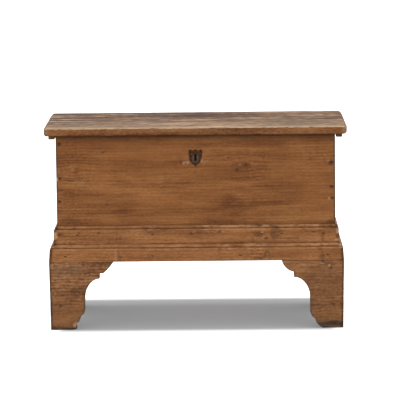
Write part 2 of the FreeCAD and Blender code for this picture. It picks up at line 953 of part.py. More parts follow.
def hinge_strap(strap_nails):
    """A tapered strap that ends in a round finial and rolls into the middle knuckle."""
    strap = body("hinge_strap_body")
    half_knuckle = s.knuckle_width / 2
    half_root = s.strap_root / 2
    half_neck = s.strap_neck / 2
    shoulder = axis_y - s.eye_radius - s.seat_play
    finial_y = axis_y - s.strap_reach
    neck_y = finial_y + root(s.finial_radius * s.finial_radius - half_neck * half_neck)
    plate = sketch(strap, "XY_Plane", strap_bottom)
    outline(plate, [
        (hinge_x - half_knuckle, axis_y),
        (hinge_x - half_knuckle, shoulder),
        (hinge_x - half_root, shoulder),
        (hinge_x - half_root, axis_y - s.strap_root_length),
        (hinge_x - half_neck, neck_y, s.finial_radius, LEFT_TURN),
        (hinge_x, finial_y - s.finial_radius, s.finial_radius, LEFT_TURN),
        (hinge_x + half_neck, neck_y),
        (hinge_x + half_root, axis_y - s.strap_root_length),
        (hinge_x + half_root, shoulder),
        (hinge_x + half_knuckle, shoulder),
        (hinge_x + half_knuckle, axis_y),
    ])
    pad(plate, s.strap_thickness)
    eye = sketch(strap, "YZ_Plane", hinge_x - half_knuckle)
    ring(eye, axis_y, axis_z, s.eye_radius)
    pad(eye, s.knuckle_width)
    bore = sketch(strap, "YZ_Plane", hinge_x)
    ring(bore, axis_y, axis_z, s.pin_radius + s.pin_play)
    pocket(bore)
    pair(cut("hinge_strap_cut", strap, [strap_nails]), "hinge_strap")


def hinge_leaf(leaf_nails):
    """A short leaf with the two outer knuckles, its lower corners rounded."""
    leaf = body("hinge_leaf_body")
    half = s.leaf_width / 2
    inner = s.knuckle_width / 2 + s.knuckle_gap
    shoulder = axis_z - s.eye_radius - s.seat_play
    foot = axis_z - s.leaf_height
    corner = s.leaf_corner
    plate = sketch(leaf, "XZ_Plane", -back)
    outline(plate, [
        (hinge_x - half, foot + corner, corner, LEFT_TURN),
        (hinge_x - half + corner, foot),
        (hinge_x + half - corner, foot, corner, LEFT_TURN),
        (hinge_x + half, foot + corner),
        (hinge_x + half, axis_z),
        (hinge_x + inner, axis_z),
        (hinge_x + inner, shoulder),
        (hinge_x - inner, shoulder),
        (hinge_x - inner, axis_z),
        (hinge_x - half, axis_z),
    ])
    pad(plate, s.strap_thickness)
    for start in (hinge_x - half, hinge_x + inner):
        eye = sketch(leaf, "YZ_Plane", start)
        ring(eye, axis_y, axis_z, s.eye_radius)
        pad(eye, half - inner)
    bore = sketch(leaf, "YZ_Plane", hinge_x)
    ring(bore, axis_y, axis_z, s.pin_radius + s.pin_play)
    pocket(bore)
    pair(cut("hinge_leaf_cut", leaf, [leaf_nails]), "hinge_leaf")


def hinge_pins():
    """A headed pin through the knuckles of each hinge."""
    along = Rotation(Vector(0, 1, 0), 90)
    half = s.leaf_width / 2
    start = hinge_x - half
    shank = rod("pin_shank", s.pin_radius, s.leaf_width + s.pin_head, start, axis_y, axis_z, along)
    head_x = hinge_x + half + s.knuckle_gap
    head = rod("pin_head_disc", s.pin_head_radius, s.pin_head, head_x, axis_y, axis_z, along)
    right = join("right_pin", [shank, head])
    return node(group("pins", [right, mirrored("left_pin", right)]), "hinge_pins")


# Case.

def board(name, x_span, y_span, z_span, front_round=False):
    """A case board whose two front corners may be eased, drawn in plan and raised."""
    thing = body(name)
    drawing = sketch(thing, "XY_Plane", z_span[0])
    left, right = x_span
    near, far = y_span
    if front_round:
        arris = s.case_arris
        corners = [
            (left, near + arris, arris, LEFT_TURN),
            (left + arris, near),
            (right - arris, near, arris, LEFT_TURN),
            (right, near + arris),
            (right, far),
            (left, far),
        ]
    else:
        corners = [(left, near), (right, near), (right, far), (left, far)]
    outline(drawing, corners)
    pad(drawing, z_span[1] - z_span[0])
    return thing


def front_board(tools):
    """The front board with its keyhole and the housings for the lock."""
    timber = board("front_timber", (-half_length, half_length), (front, inner_front), (soffit, case_top), True)
    play = s.seat_play
    box_half = s.case_half + play
    plate_half = s.lock_half + play
    box = block(
        "lock_housing", (-box_half, box_half), (box_front - play, inner_front), (box_floor - play, case_top)
    )
    plate = block(
        "plate_housing", (-plate_half, plate_half), (lock_face, inner_front), (lock_floor - play, case_top)
    )
    selvedge_front = inner_front - s.selvedge_width - play
    selvedge = block(
        "selvedge_housing", (-plate_half, plate_half), (selvedge_front, inner_front), (box_roof, case_top)
    )
    return node(cut("front_board_cut", timber, [box, plate, selvedge] + tools), "front_board")


def back_board(tools):
    """The back board, housed for each hinge's leaf, knuckles and strap."""
    timber = board("back_timber", (-half_length, half_length), (inner_back, back), (soffit, case_top))
    play = s.seat_play
    half_strap = s.strap_root / 2 + play
    half_leaf = s.leaf_width / 2 + play
    leaf_floor = axis_z - s.leaf_height - play
    leaf_seat = back - s.strap_thickness
    eye_floor = axis_z - s.eye_radius - play
    pin_end = s.leaf_width / 2 + s.pin_head + play * 2
    housings = []
    for side in (-1, 1):
        x = hinge_x * side
        near = -half_leaf if side > 0 else -pin_end
        far = pin_end if side > 0 else half_leaf
        housings += [
            block(f"strap_seat_{side + 1}", (x - half_strap, x + half_strap), (inner_back, back),
                  (strap_bottom - play, case_top)),
            block(f"leaf_seat_{side + 1}", (x - half_leaf, x + half_leaf), (leaf_seat, back),
                  (leaf_floor, case_top)),
            block(f"eye_seat_{side + 1}", (x + near, x + far), (leaf_seat - play, back),
                  (eye_floor, case_top)),
        ]
    return node(cut("back_board_cut", timber, housings + tools), "back_board")


def end_boards(tools):
    """The two end boards, between the front and back boards."""
    for side, label in ((1, "end_board_right"), (-1, "end_board_left")):
        span = (inner_end, half_length) if side > 0 else (-half_length, -inner_end)
        timber = block(label + "_timber", span, (inner_front, inner_back), (soffit, case_top))
        node(cut(label + "_cut", timber, tools), label)


def bottom(plank_tools, cleat_tools):
    """Three planks on a ring of cleats."""
    inner = inner_end - s.cleat_width
    level = (soffit, cleat_top)
    near = (inner_front, inner_front + s.cleat_width)
    far = (inner_back - s.cleat_width, inner_back)
    between = (near[1], far[0])
    cleats = {
        "bottom_cleat_front": ((-inner_end, inner_end), near),
        "bottom_cleat_back": ((-inner_end, inner_end), far),
        "bottom_cleat_left": ((-inner_end, -inner), between),
        "bottom_cleat_right": ((inner, inner_end), between),
    }
    for label, (x_span, y_span) in cleats.items():
        timber = block(label + "_timber", x_span, y_span, level)
        node(cut(label + "_cut", timber, cleat_tools), label)
    reach = inner_end - s.plank_gap
    for label, span in zip(("front", "middle", "back"), plank_edges()):
        timber = block(f"plank_{label}", (-reach, reach), span, (cleat_top, plank_top))
        node(cut(f"plank_{label}_cut", timber, plank_tools), "bottom_plank_" + label)


# Mouldings: a face under a quirk and a set-back bead, mitred at the front corners.

def profile(across, hand, form):
    """The moulding's section; across turns a projection from the case into a sketch coordinate."""
    quirk_floor = form.bead_out - s.quirk_depth
    turn = LEFT_TURN * hand
    return [
        (across(ZERO), form.low),
        (across(form.thickness), form.low),
        (across(form.face), form.eased, s.face_easing, turn),
        (across(form.face - s.face_easing), form.shoulder),
        (across(quirk_floor), form.shoulder),
        (across(quirk_floor), form.bead_low),
        (across(form.bead_out), form.bead_low),
        (across(form.bead_out), form.high - form.bead, form.bead, turn),
        (across(form.flat), form.high),
        (across(ZERO), form.high),
    ]


def mitre_front_bar(bar, thickness):
    """Cut both ends of a front piece to 45 degrees in plan."""
    drawing = sketch(bar, "XY_Plane")
    for side in (-1, 1):
        inner = half_length * side
        outer = (half_length + thickness) * side
        outline(drawing, [(inner, front), (outer, front - thickness), (outer, front)])
    pocket(drawing)


def mitre_side_bar(bar, thickness):
    """Cut the front end of a right-hand side piece to 45 degrees in plan."""
    drawing = sketch(bar, "XY_Plane")
    outer = half_length + thickness
    outline(drawing, [(half_length, front), (half_length, front - thickness), (outer, front - thickness)])
    pocket(drawing)


def moulding(label, form, tools):
    """A moulding round the front and both ends of the case."""
    bar = body(label + "_front_bar")
    drawing = sketch(bar, "YZ_Plane")
    outline(drawing, profile(lambda out: front - out, -1, form))
    pad(drawing, (half_length + form.thickness) * 2, symmetric=True)
    mitre_front_bar(bar, form.thickness)
    node(cut(label + "_front_cut", bar, tools), label + "_front")
    side = body(label + "_side_bar")
    drawing = sketch(side, "XZ_Plane", -back)
    outline(drawing, profile(lambda out: half_length + out, 1, form))
    pad(drawing, s.case_depth + form.thickness)
    mitre_side_bar(side, form.thickness)
    pair(cut(label + "_side_cut", side, tools), label)


# Feet.

def scroll(along, hand):
    """The bracket's outline: lobe, ledge, step, hollow, ankle and toe, from the corner inwards."""
    lobe_end = s.foot_reach - s.lobe_width
    step_edge = lobe_end - s.ledge_width
    lobe_low = s.foot_height - s.lobe_height
    hollow_top = lobe_low - s.step_height
    hollow_low = hollow_top - s.hollow_height
    hollow_width = step_edge - s.ankle_width
    toe_edge = s.ankle_width - s.toe_step
    toe_low = s.toe_height - s.toe_step - s.toe_flat
    toe_width = toe_edge - s.sole_width

    def tangent_radius(width, height):
        """The radius of an arc that starts upright and ends width across and height along."""
        return (width * width + height * height) / (width * 2)

    lobe_radius = tangent_radius(s.lobe_width, s.lobe_height)
    hollow_radius = tangent_radius(hollow_width, s.hollow_height)
    toe_radius = tangent_radius(toe_width, toe_low)
    return [
        (along(ZERO), ZERO),
        (along(ZERO), s.foot_height),
        (along(s.foot_reach), s.foot_height, lobe_radius, RIGHT_TURN * hand),
        (along(lobe_end), lobe_low),
        (along(step_edge), lobe_low),
        (along(step_edge), hollow_top, hollow_radius, LEFT_TURN * hand),
        (along(s.ankle_width), hollow_low),
        (along(s.ankle_width), s.toe_height),
        (along(toe_edge), s.toe_height - s.toe_step),
        (along(toe_edge), toe_low, toe_radius, RIGHT_TURN * hand),
        (along(s.sole_width), ZERO),
    ]


def front_feet(tools):
    """The front foot boards, mitred at the corner."""
    foot = body("front_foot_board")
    drawing = sketch(foot, "XZ_Plane", -front)
    outline(drawing, scroll(lambda run: base_end - run, -1))
    pad(drawing, s.rail_thickness)
    mitre_front_bar(foot, s.rail_thickness)
    pair(cut("front_foot_cut", foot, tools), "front_foot")


def side_feet(tools):
    """The side foot boards: one mitred to the front foot, one square at the back."""
    near = body("side_foot_front_board")
    drawing = sketch(near, "YZ_Plane", half_length)
    outline(drawing, scroll(lambda run: base_front + run, 1))
    pad(drawing, s.rail_thickness)
    mitre_side_bar(near, s.rail_thickness)
    pair(cut("side_foot_front_cut", near, tools), "side_foot_front")
    far = body("side_foot_back_board")
    drawing = sketch(far, "YZ_Plane", half_length)
    outline(drawing, scroll(lambda run: back - run, -1))
    pad(drawing, s.rail_thickness)
    pair(cut("side_foot_back_cut", far, tools), "side_foot_back")


def rear_feet(tools):
    """Plain brackets between the side feet at the back, cut away in one hollow."""
    foot = body("rear_foot_board")
    drawing = sketch(foot, "XZ_Plane", -back)
    lip_low = s.foot_height - s.rear_foot_lip
    inner = half_length - s.rear_foot_reach
    sole = half_length - s.rear_foot_sole
    hollow = s.rear_foot_reach - s.rear_foot_sole
    drop = lip_low - s.rear_foot_straight
    radius = (hollow * hollow + drop * drop) / (hollow * 2)
    outline(drawing, [
        (half_length, ZERO),
        (half_length, s.foot_height),
        (inner, s.foot_height),
        (inner, lip_low, radius, RIGHT_TURN),
        (sole, s.rear_foot_straight),
        (sole, ZERO),
    ])
    pad(drawing, s.rear_foot_thickness)
    pair(cut("rear_foot_cut", foot, tools), "rear_foot")


def foot_blocks(tools):
    """Square glue blocks in the feet's inside corners, under the case's corners."""
    across = (half_length - s.block_width, half_length)
    level = (s.block_lift, soffit)
    rear = back - s.rear_foot_thickness
    spans = {
        "foot_block_front": (front, front + s.block_width),
        "foot_block_back": (rear - s.block_width, rear),
    }
    for label, y_span in spans.items():
        timber = block(label + "_timber", across, y_span, level)
        pair(cut(label + "_cut", timber, tools), label)


# Lid.

def lid_board(tools):
    """The lid: one board with rounded ends and softened edges, housed for the catch."""
    board_body = body("lid_timber")
    half = s.lid_length / 2
    top_round = s.lid_end_round_top
    low_round = s.lid_end_round_bottom
    drawing = sketch(board_body, "XZ_Plane", -(s.lid_depth / 2))
    outline(drawing, [
        (low_round - half, case_top),
        (half - low_round, case_top, low_round, LEFT_TURN),
        (half, case_top + low_round),
        (half, lid_top - top_round, top_round, LEFT_TURN),
        (half - top_round, lid_top),
        (top_round - half, lid_top, top_round, LEFT_TURN),
        (-half, lid_top - top_round),
        (-half, case_top + low_round, low_round, LEFT_TURN),
    ])
    length = pad(drawing, s.lid_depth)
    document.recompute()
    softened = board_body.newObject("PartDesign::Chamfer", "lid_softened")
    softened.Base = (length, long_edges(length.Shape, s.lid_depth.number / 2))
    bind(softened, "Size", s.lid_arris)
    play = s.seat_play
    half_width = s.catch_width / 2 + play
    recess = block(
        "catch_housing",
        (-s.catch_half - play, s.catch_half + play),
        (bolt_y - half_width, bolt_y + half_width),
        (case_top, case_top + s.catch_thickness),
    )
    return node(cut("lid_board_cut", board_body, [recess] + tools), "lid_board")


def long_edges(shape, reach):
    """The straight edges along the front and back of the lid."""
    found = []
    for number, edge in enumerate(shape.Edges, start=1):
        box = edge.BoundBox
        at_face = abs(abs(box.YMin) - reach) < 0.001 and box.YLength < 0.001
        if at_face and box.ZLength < 0.001 and box.XLength > reach:
            found.append(f"Edge{number}")
    return found


def lid_battens(tools):
    """A batten under each end of the lid, its lower outer edge rounded."""
    batten = body("lid_batten_bar")
    low = case_top - s.batten_height
    drawing = sketch(batten, "XZ_Plane", -batten_back)
    outline(drawing, [
        (batten_inner, low),
        (batten_outer - s.batten_arris, low, s.batten_arris, LEFT_TURN),
        (batten_outer, low + s.batten_arris),
        (batten_outer, case_top),
        (batten_inner, case_top),
    ])
    pad(drawing, batten_back - batten_front)
    pair(cut("lid_batten_cut", batten, tools), "lid_batten")


def build_chest():
    """Make the fastenings first, then the pieces that their holes are cut in."""
    corner = corner_nails()
    waist = waist_moulding_nails()
    rail = base_rail_nails()
    foot = foot_nails()
    planks = bottom_nails()
    cleats = cleat_nails()
    battens = lid_batten_nails()
    straps = hinge_strap_nails()
    leaves = hinge_leaf_nails()
    plate_screws = lock_screws()
    lid_screws = catch_screws()
    pins = tacks()
    keyhole = keyhole_cutter()

    node(cut("escutcheon_cut", escutcheon(), [pins]), "escutcheon")
    lock_plate(plate_screws)
    lock_case(keyhole)
    lock_bolt()
    lock_spring()
    lock_key_pin()
    lock_catch(lid_screws)

    front_board([keyhole, pins, plate_screws, corner, waist, rail, cleats])
    back_board([leaves, corner, cleats])
    end_boards([corner, waist, rail, cleats])
    bottom([planks], [planks, cleats, rail])
    moulding("waist_moulding", waist_form, [waist])
    moulding("base_rail", rail_form, [rail])
    front_feet([foot])
    side_feet([foot])
    rear_feet([foot])
    foot_blocks([foot])
    lid_board([battens, straps, lid_screws])
    lid_battens([battens])
    hinge_strap(straps)
    hinge_leaf(leaves)
    hinge_pins()


def write_parts():
    """Check every object, then write each sub-part to its own file."""
    document.recompute()
    for thing in document.Objects:
        if "Invalid" in thing.State or "Error" in thing.State:
            raise RuntimeError(f"{thing.Label} did not build: {thing.State}")
    for thing in nodes:
        if thing.Shape.isNull() or not thing.Shape.isValid() or not thing.Shape.Solids:
            raise RuntimeError(f"{thing.Label} has no sound solid")
    os.makedirs("parts", exist_ok=True)
    for thing in nodes:
        thing.Shape.exportStep(os.path.join("parts", thing.Label + ".step"))
        print(thing.Label, len(thing.Shape.Solids), round(thing.Shape.Volume))


build_chest()
write_parts()
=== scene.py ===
# %% [markdown]
# # Dressing an old blanket chest
#
# The frame holds the chest's exact solids. This lesson gives every board the surface that a century or
# two of use leaves on it: rounded arrises, knots, stains round the nails and a weathered top. Each board is
# a surface worked out with numpy in place of its plain solid, and rides on the same body of the frame.

# %% Load the frame
import math

import bmesh
import bpy
import numpy as np
from mathutils import Matrix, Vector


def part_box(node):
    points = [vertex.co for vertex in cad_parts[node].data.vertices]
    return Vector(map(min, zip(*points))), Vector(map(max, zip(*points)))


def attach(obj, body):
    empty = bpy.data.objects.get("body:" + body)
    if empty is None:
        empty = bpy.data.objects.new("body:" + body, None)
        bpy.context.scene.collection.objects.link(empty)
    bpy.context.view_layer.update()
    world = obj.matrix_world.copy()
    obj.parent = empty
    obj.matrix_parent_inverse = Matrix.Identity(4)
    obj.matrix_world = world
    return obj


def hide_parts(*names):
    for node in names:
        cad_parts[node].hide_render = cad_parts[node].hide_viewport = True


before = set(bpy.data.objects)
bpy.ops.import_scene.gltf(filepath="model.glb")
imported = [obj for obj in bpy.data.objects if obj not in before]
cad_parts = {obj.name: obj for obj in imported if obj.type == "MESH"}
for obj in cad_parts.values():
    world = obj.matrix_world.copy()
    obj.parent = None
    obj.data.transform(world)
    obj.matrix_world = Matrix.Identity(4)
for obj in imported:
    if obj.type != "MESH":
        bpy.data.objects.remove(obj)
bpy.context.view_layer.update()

# %% [markdown]
# ## Measures from the frame
#
# The solids say where everything is. They could be measured with a ruler and written down again here, but
# then a changed size would leave the surfaces behind, so each place is read from its own solid's box. A
# thickness is rounded to a thousandth of a millimetre, because a box is only as fine as its mesh's numbers.

# %% Measures
MM = 0.001
box = {name: np.array(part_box(name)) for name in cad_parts}
half = box["front_board"][1][0]
front = box["front_board"][0][1]
back = box["back_board"][1][1]
soffit = box["base_rail_front"][0][2]
rail_top = box["base_rail_front"][1][2]
waist_top = box["waist_moulding_front"][1][2]
case_top = box["front_board"][1][2]
lid_low, lid_high = box["lid_board"]
key_pin = box["lock_key_pin"][:, 2].sum() / 2
rail_thick = round(front - box["base_rail_front"][0][1], 6)
waist_thick = round(front - box["waist_moulding_front"][0][1], 6)
rear_thick = round(back - box["rear_foot_left"][0][1], 6)
print("case half length", half, "front", front, "back", back, "key pin", key_pin)

# %% [markdown]
# ## The camera
#
# A long lens a good nine metres away keeps the chest's upright edges almost parallel, as furniture is
# usually shown. The camera stands a metre above the lid and looks down by eight degrees, so the top shows
# as a narrow band. It is turned by three angles: the yaw about the upright, the pitch below the horizon and
# a small roll about its own line of sight.

# %% Camera
CAMERA_PLACE = (0.097, -9.04, 1.728)
CAMERA_YAW = math.radians(-0.538)
CAMERA_PITCH = math.radians(8.272)
CAMERA_ROLL = math.radians(-0.601)
FOCAL_WIDTHS = 6.5
SENSOR = 36
FAR_CLIP = 60


def turn_about(axis, angle):
    """The matrix that turns a direction about one axis: cosines on its plane, plus and minus the sine."""
    a, b = [(1, 2), (2, 0), (0, 1)][axis]
    matrix = np.eye(3)
    matrix[a, a] = matrix[b, b] = math.cos(angle)
    matrix[b, a] = math.sin(angle)
    matrix[a, b] = -math.sin(angle)
    return matrix


def add_camera():
    """Upright first, then lowered, rolled on its own axis and turned towards the chest."""
    lens = bpy.data.cameras.new("camera")
    lens.sensor_width = SENSOR
    lens.lens = FOCAL_WIDTHS * SENSOR
    lens.clip_end = FAR_CLIP
    eye = bpy.data.objects.new("camera", lens)
    turn = turn_about(2, -CAMERA_YAW) @ turn_about(0, math.pi / 2 - CAMERA_PITCH) @ turn_about(2, CAMERA_ROLL)
    matrix = np.eye(4)
    matrix[:3, :3] = turn
    matrix[:3, 3] = CAMERA_PLACE
    eye.matrix_world = Matrix(matrix.tolist())
    bpy.context.scene.collection.objects.link(eye)
    bpy.context.scene.camera = eye


add_camera()
print("camera", CAMERA_PLACE, "lens", FOCAL_WIDTHS * SENSOR, "mm")

# %% [markdown]
# ## Light
#
# A plain studio: an even white surround and one soft lamp straight overhead, so the shadow stays beneath
# the chest and shows only through the arch. A lamp in front would flatten the mouldings. The camera sees
# the surround as pure white through Is Camera Ray, while the chest is lit by a gentler sky, so the wood
# keeps the colours it is given.

# %% Light
SKY = 0.95
LAMP_HEIGHT = 6.0
LAMP_SIZE = (0.5, 1.4)
LAMP_POWER = 150
PURE_WHITE = (1, 1, 1, 1)


def seen_directly(tree):
    """1 for rays from the camera, from mirrors and through glass, and 0 for light that falls on things."""
    path = tree.nodes.new("ShaderNodeLightPath")
    total = path.outputs["Is Camera Ray"]
    for kind in ("Is Glossy Ray", "Is Transmission Ray"):
        either = tree.nodes.new("ShaderNodeMath")
        either.operation = "MAXIMUM"
        tree.links.new(total, either.inputs[0])
        tree.links.new(path.outputs[kind], either.inputs[1])
        total = either.outputs[0]
    return total


def map_range(tree, value, span, target):
    """Takes span smoothly on to target, by t * t * (3 - 2 * t), and stops at its ends."""
    node = tree.nodes.new("ShaderNodeMapRange")
    node.interpolation_type = "SMOOTHSTEP"
    for name, number in zip(("From Min", "From Max", "To Min", "To Max"), (*span, *target)):
        node.inputs[name].default_value = number
    tree.links.new(value, node.inputs["Value"])
    return node.outputs["Result"]


def light_the_room():
    """The surround, and one lamp that shines straight down."""
    world = bpy.data.worlds.new("surround")
    world.use_nodes = True
    bpy.context.scene.world = world
    tree = world.node_tree
    sky = tree.nodes["Background"]
    sky.inputs["Color"].default_value = PURE_WHITE
    tree.links.new(map_range(tree, seen_directly(tree), (0, 1), (SKY, 1)), sky.inputs["Strength"])
    lamp = bpy.data.lights.new("softbox", "AREA")
    lamp.shape = "RECTANGLE"
    lamp.size, lamp.size_y = LAMP_SIZE
    lamp.energy = LAMP_POWER
    holder = bpy.data.objects.new("softbox", lamp)
    holder.location = (0, 0, LAMP_HEIGHT)
    bpy.context.scene.collection.objects.link(holder)


light_the_room()
bpy.context.scene.view_settings.view_transform = "Standard"
print("lamp", LAMP_POWER, "W, sky", SKY)

# %% [markdown]
# ## Floor
#
# The floor is one large square. Beneath the chest it is painted a darker grey, a painted shadow under the
# real one, so that the shadow lies deep and even; there its glow for the camera is a little stronger at the
# front than at the back, which evens the shadow out. Round about, it glows a little for the camera, as an
# overexposed studio floor does. Both follow the floor's own coordinates, with soft borders, so that they
# stay put from wherever the chest is seen.

# %% Borders of the shade
SHADOW_HALF = (0.43, 0.52)
SHADOW_FRONT = (-0.33, -0.23)
SHADOW_BACK = (0.30, 0.385)


def away_from_chest(tree):
    """0 on the floor beneath the chest, rising to 1 round about it, and how far back each place lies."""
    place = tree.nodes.new("ShaderNodeTexCoord")
    split = tree.nodes.new("ShaderNodeSeparateXYZ")
    tree.links.new(place.outputs["Object"], split.inputs[0])
    across = tree.nodes.new("ShaderNodeMath")
    across.operation = "ABSOLUTE"
    tree.links.new(split.outputs["X"], across.inputs[0])
    total = map_range(tree, across.outputs[0], SHADOW_HALF, (0, 1))
    for span, target in ((SHADOW_FRONT, (1, 0)), (SHADOW_BACK, (0, 1))):
        most = tree.nodes.new("ShaderNodeMath")
        most.operation = "MAXIMUM"
        tree.links.new(total, most.inputs[0])
        tree.links.new(map_range(tree, split.outputs["Y"], span, target), most.inputs[1])
        total = most.outputs[0]
    return total, split.outputs["Y"]


def blend(tree, amount, a, b):
    """a where amount is 0 and b where it is 1."""
    node = tree.nodes.new("ShaderNodeMix")
    for socket, value in zip(node.inputs, (amount, None, a, b)):
        if isinstance(value, bpy.types.NodeSocket):
            tree.links.new(value, socket)
        elif value is not None:
            socket.default_value = value
    return node.outputs[0]


print("shade reaches", SHADOW_HALF, "m to each side")

# %% Floor
FLOOR_SIZE = 60
FLOOR_COLOUR = 0.66
SHADE_COLOUR = 0.375
GLOW_TINT = (0.96, 1, 1.05, 1)
GLOW_UNDER = (0.175, 0.115)
UNDER = (-0.02, 0.24)


def lay_floor():
    """White floor, painted grey as shadow beneath the chest; it is part of the stage, not of the chest."""
    half_floor = FLOOR_SIZE / 2
    corners = [(x * half_floor, y * half_floor, 0) for x, y in ((-1, -1), (1, -1), (1, 1), (-1, 1))]
    mesh = bpy.data.meshes.new("floor")
    mesh.from_pydata(corners, [], [(0, 1, 2, 3)])
    floor = bpy.data.objects.new("floor", mesh)
    bpy.context.scene.collection.objects.link(floor)
    white = bpy.data.materials.new("floor_white")
    white.use_nodes = True
    tree = white.node_tree
    shader = tree.nodes["Principled BSDF"]
    shader.inputs["Roughness"].default_value = 1
    shader.inputs["Specular IOR Level"].default_value = 0
    shader.inputs["Emission Color"].default_value = GLOW_TINT
    away, back_along = away_from_chest(tree)
    # painted shadow: the floor's own colour is a darker grey beneath the chest
    tree.links.new(blend(tree, away, SHADE_COLOUR, FLOOR_COLOUR), shader.inputs["Base Color"])
    # painted light: beneath the chest the glow lifts the shadow, more at the front than at the back
    glow = blend(tree, away, map_range(tree, back_along, UNDER, GLOW_UNDER), 1.0)
    shown = tree.nodes.new("ShaderNodeMath")
    shown.operation = "MULTIPLY"
    tree.links.new(glow, shown.inputs[0])
    tree.links.new(seen_directly(tree), shown.inputs[1])
    tree.links.new(shown.outputs[0], shader.inputs["Emission Strength"])
    floor.data.materials.append(white)


lay_floor()
print("floor", FLOOR_SIZE, "m")

# %% [markdown]
# ## Noise
#
# Wear is never even. Every dent and wobble below comes from one smooth noise: each point of an endless
# lattice gets a random number worked out from its own coordinates, and the places between are blended. The
# same seed always gives the same wear.

# %% Noise
AXIS_PRIMES = np.array([73856093, 19349663, 83492791])
SEED_PRIME = 2654435761
FOLDS = ((13, 1274126177), (16, 668265263))
LAST_FOLD = 15
LOW_BITS = 0xFFFF


def scramble(lattice, seed):
    """A number from 0 to 1 for each lattice point: its coordinates times large primes, folded together."""
    mixed = (lattice * AXIS_PRIMES).sum(axis=-1) + seed * SEED_PRIME
    for shift, prime in FOLDS:
        mixed = (mixed ^ (mixed >> shift)) * prime
    return ((mixed ^ (mixed >> LAST_FOLD)) & LOW_BITS) / LOW_BITS


def noise(points, size, seed=0):
    """Smooth noise from 0 to 1; size is how far apart its bumps are, alone or along x, y and z."""
    place = points / size
    cell = np.floor(place).astype(np.int64)
    part = place - cell
    part = part * part * (3 - 2 * part)
    total = np.zeros(len(points))
    for corner in np.ndindex(2, 2, 2):
        weight = np.where(corner, part, 1 - part).prod(axis=1)
        total += weight * scramble(cell + corner, seed)
    return total


def layered(points, size, seed=0, layers=3):
    """Noise with finer noise on it: each layer is half as large and half as strong as the last."""
    size = np.asarray(size, float)
    total = sum(noise(points, size / 2 ** n, seed + n) / 2 ** n for n in range(layers))
    return total / (2 - 2 ** (1 - layers))


def fade(value, low, high):
    """Goes smoothly from 0 at low to 1 at high."""
    part = np.clip((value - low) / (high - low), 0, 1)
    return part * part * (3 - 2 * part)


print("noise at three places", noise(np.array([[0, 0, 0], [0.2, 0, 0], [0.5, 0, 0]]), 1.0))

# %% [markdown]
# ## The skin of a board
#
# A board could be a box with a Bevel modifier, but its points would then lie only at the edges, and wear
# needs points all over. So it begins as a block of grid lines, of which only the outside is kept. The
# lines crowd together at both ends, where the arris is going to be rounded.

# %% Grid lines and skin
CROWDING = np.array([0, 0.25, 0.5, 0.75, 1, 1.4, 2])


def lines(low, high, step, easing):
    """Where the grid's lines fall: even steps, crowding together at both ends for the rounded arris."""
    near = CROWDING * easing
    count = max(int(round((high - low - 2 * near[-1]) / step)), 1)
    middle = np.linspace(low + near[-1], high - near[-1], count + 1)
    return np.concatenate([low + near[:-1], middle, high - near[-2::-1]])


def skin(xs, ys, zs):
    """The points on the outside of a block of grid lines, and the quads between them, facing outwards."""
    block = np.stack(np.meshgrid(xs, ys, zs, indexing="ij"), axis=-1)
    outside = np.zeros(block.shape[:3], bool)
    outside[[0, -1]] = True
    outside[:, [0, -1]] = True
    outside[:, :, [0, -1]] = True
    number = np.full(outside.shape, -1)
    number[outside] = np.arange(outside.sum())
    quads = []
    for axis in range(3):
        sheets = np.moveaxis(number, axis, 0)
        for end, outward in ((0, False), (-1, True)):
            sheet = sheets[end]
            quad = np.stack([sheet[:-1, :-1], sheet[1:, :-1], sheet[1:, 1:], sheet[:-1, 1:]], axis=-1)
            quad = quad.reshape(-1, 4)
            quads.append(quad[:, ::-1] if outward == (axis == 1) else quad)
    return block[outside], np.concatenate(quads)


print("grid of a 40 mm board", lines(0, 40, 10, 2))

# %% [markdown]
# ## Rounded arrises
#
# Each point is pulled towards a slightly smaller block inside and pushed out again by the radius. Where the
# radius wanders from place to place, the arris looks worn by hand and not cut by a machine.

# %% Rounded arrises
def soften(points, low, high, easing):
    """Rounds a block's arrises: the nearest point of the inner block, plus the radius outwards."""
    inner = np.clip(points, low + easing, high - easing)
    out = (points - inner) / easing
    out = out / np.maximum(np.linalg.norm(out, axis=1, keepdims=True), 1e-9)
    return inner + out * easing


def near_arris(points, low, high, width):
    """1 on an arris and 0 further than width from it: the second smallest distance to the block's faces."""
    gap = np.minimum(np.abs(points - low), np.abs(points - high))
    return np.clip(1 - np.sort(gap, axis=1)[:, 1] / width, 0, 1)


def board(low, high, step, easing, ragged=0.5, seed=0):
    """A block whose arrises wander about their easing: by ragged times as much, more or less."""
    low, high = np.asarray(low), np.asarray(high)
    step, easing = (np.broadcast_to(np.asarray(value, float), 3) for value in (step, easing))
    xs, ys, zs = map(lines, low, high, step, easing)
    points, quads = skin(xs, ys, zs)
    wander = 1 - ragged + 2 * ragged * layered(points, 45 * MM, seed)[:, None]
    return soften(points, low, high, easing * wander), quads


print("points on a small board", len(board((0, 0, 0), (0.2, 0.1, 0.02), 0.01, 0.002)[0]))

# %% [markdown]
# ## A section walked round
#
# A moulding is known by its section, the shape that shows where it is sawn through. The section is drawn
# with a few corners, each with its own radius, as a moulding plane's iron would leave it. Where an arc
# bulges the wood gets rubbed, and where it is hollow it gets painted shade, so each point also remembers
# which it is.

# %% Section
EDGE_REACH = 2.5 * MM
ARC_STEP = 0.5 * MM


def arc_points(spot, before, after, radius):
    """The arc that eases one corner: it is tangent to both sides, radius / tan(half the angle) from it."""
    half_angle = math.acos(np.clip(before @ after, -1, 1)) / 2
    bisector = (before + after) / max(np.linalg.norm(before + after), 1e-9)
    centre = spot + bisector * radius / math.sin(half_angle)
    first = spot + before * radius / math.tan(half_angle)
    last = spot + after * radius / math.tan(half_angle)
    share = np.linspace(0, 1, max(int(radius / ARC_STEP), 3))[:, None]
    ray = (first - centre) * (1 - share) + (last - centre) * share
    return centre + ray / np.linalg.norm(ray, axis=1, keepdims=True) * radius


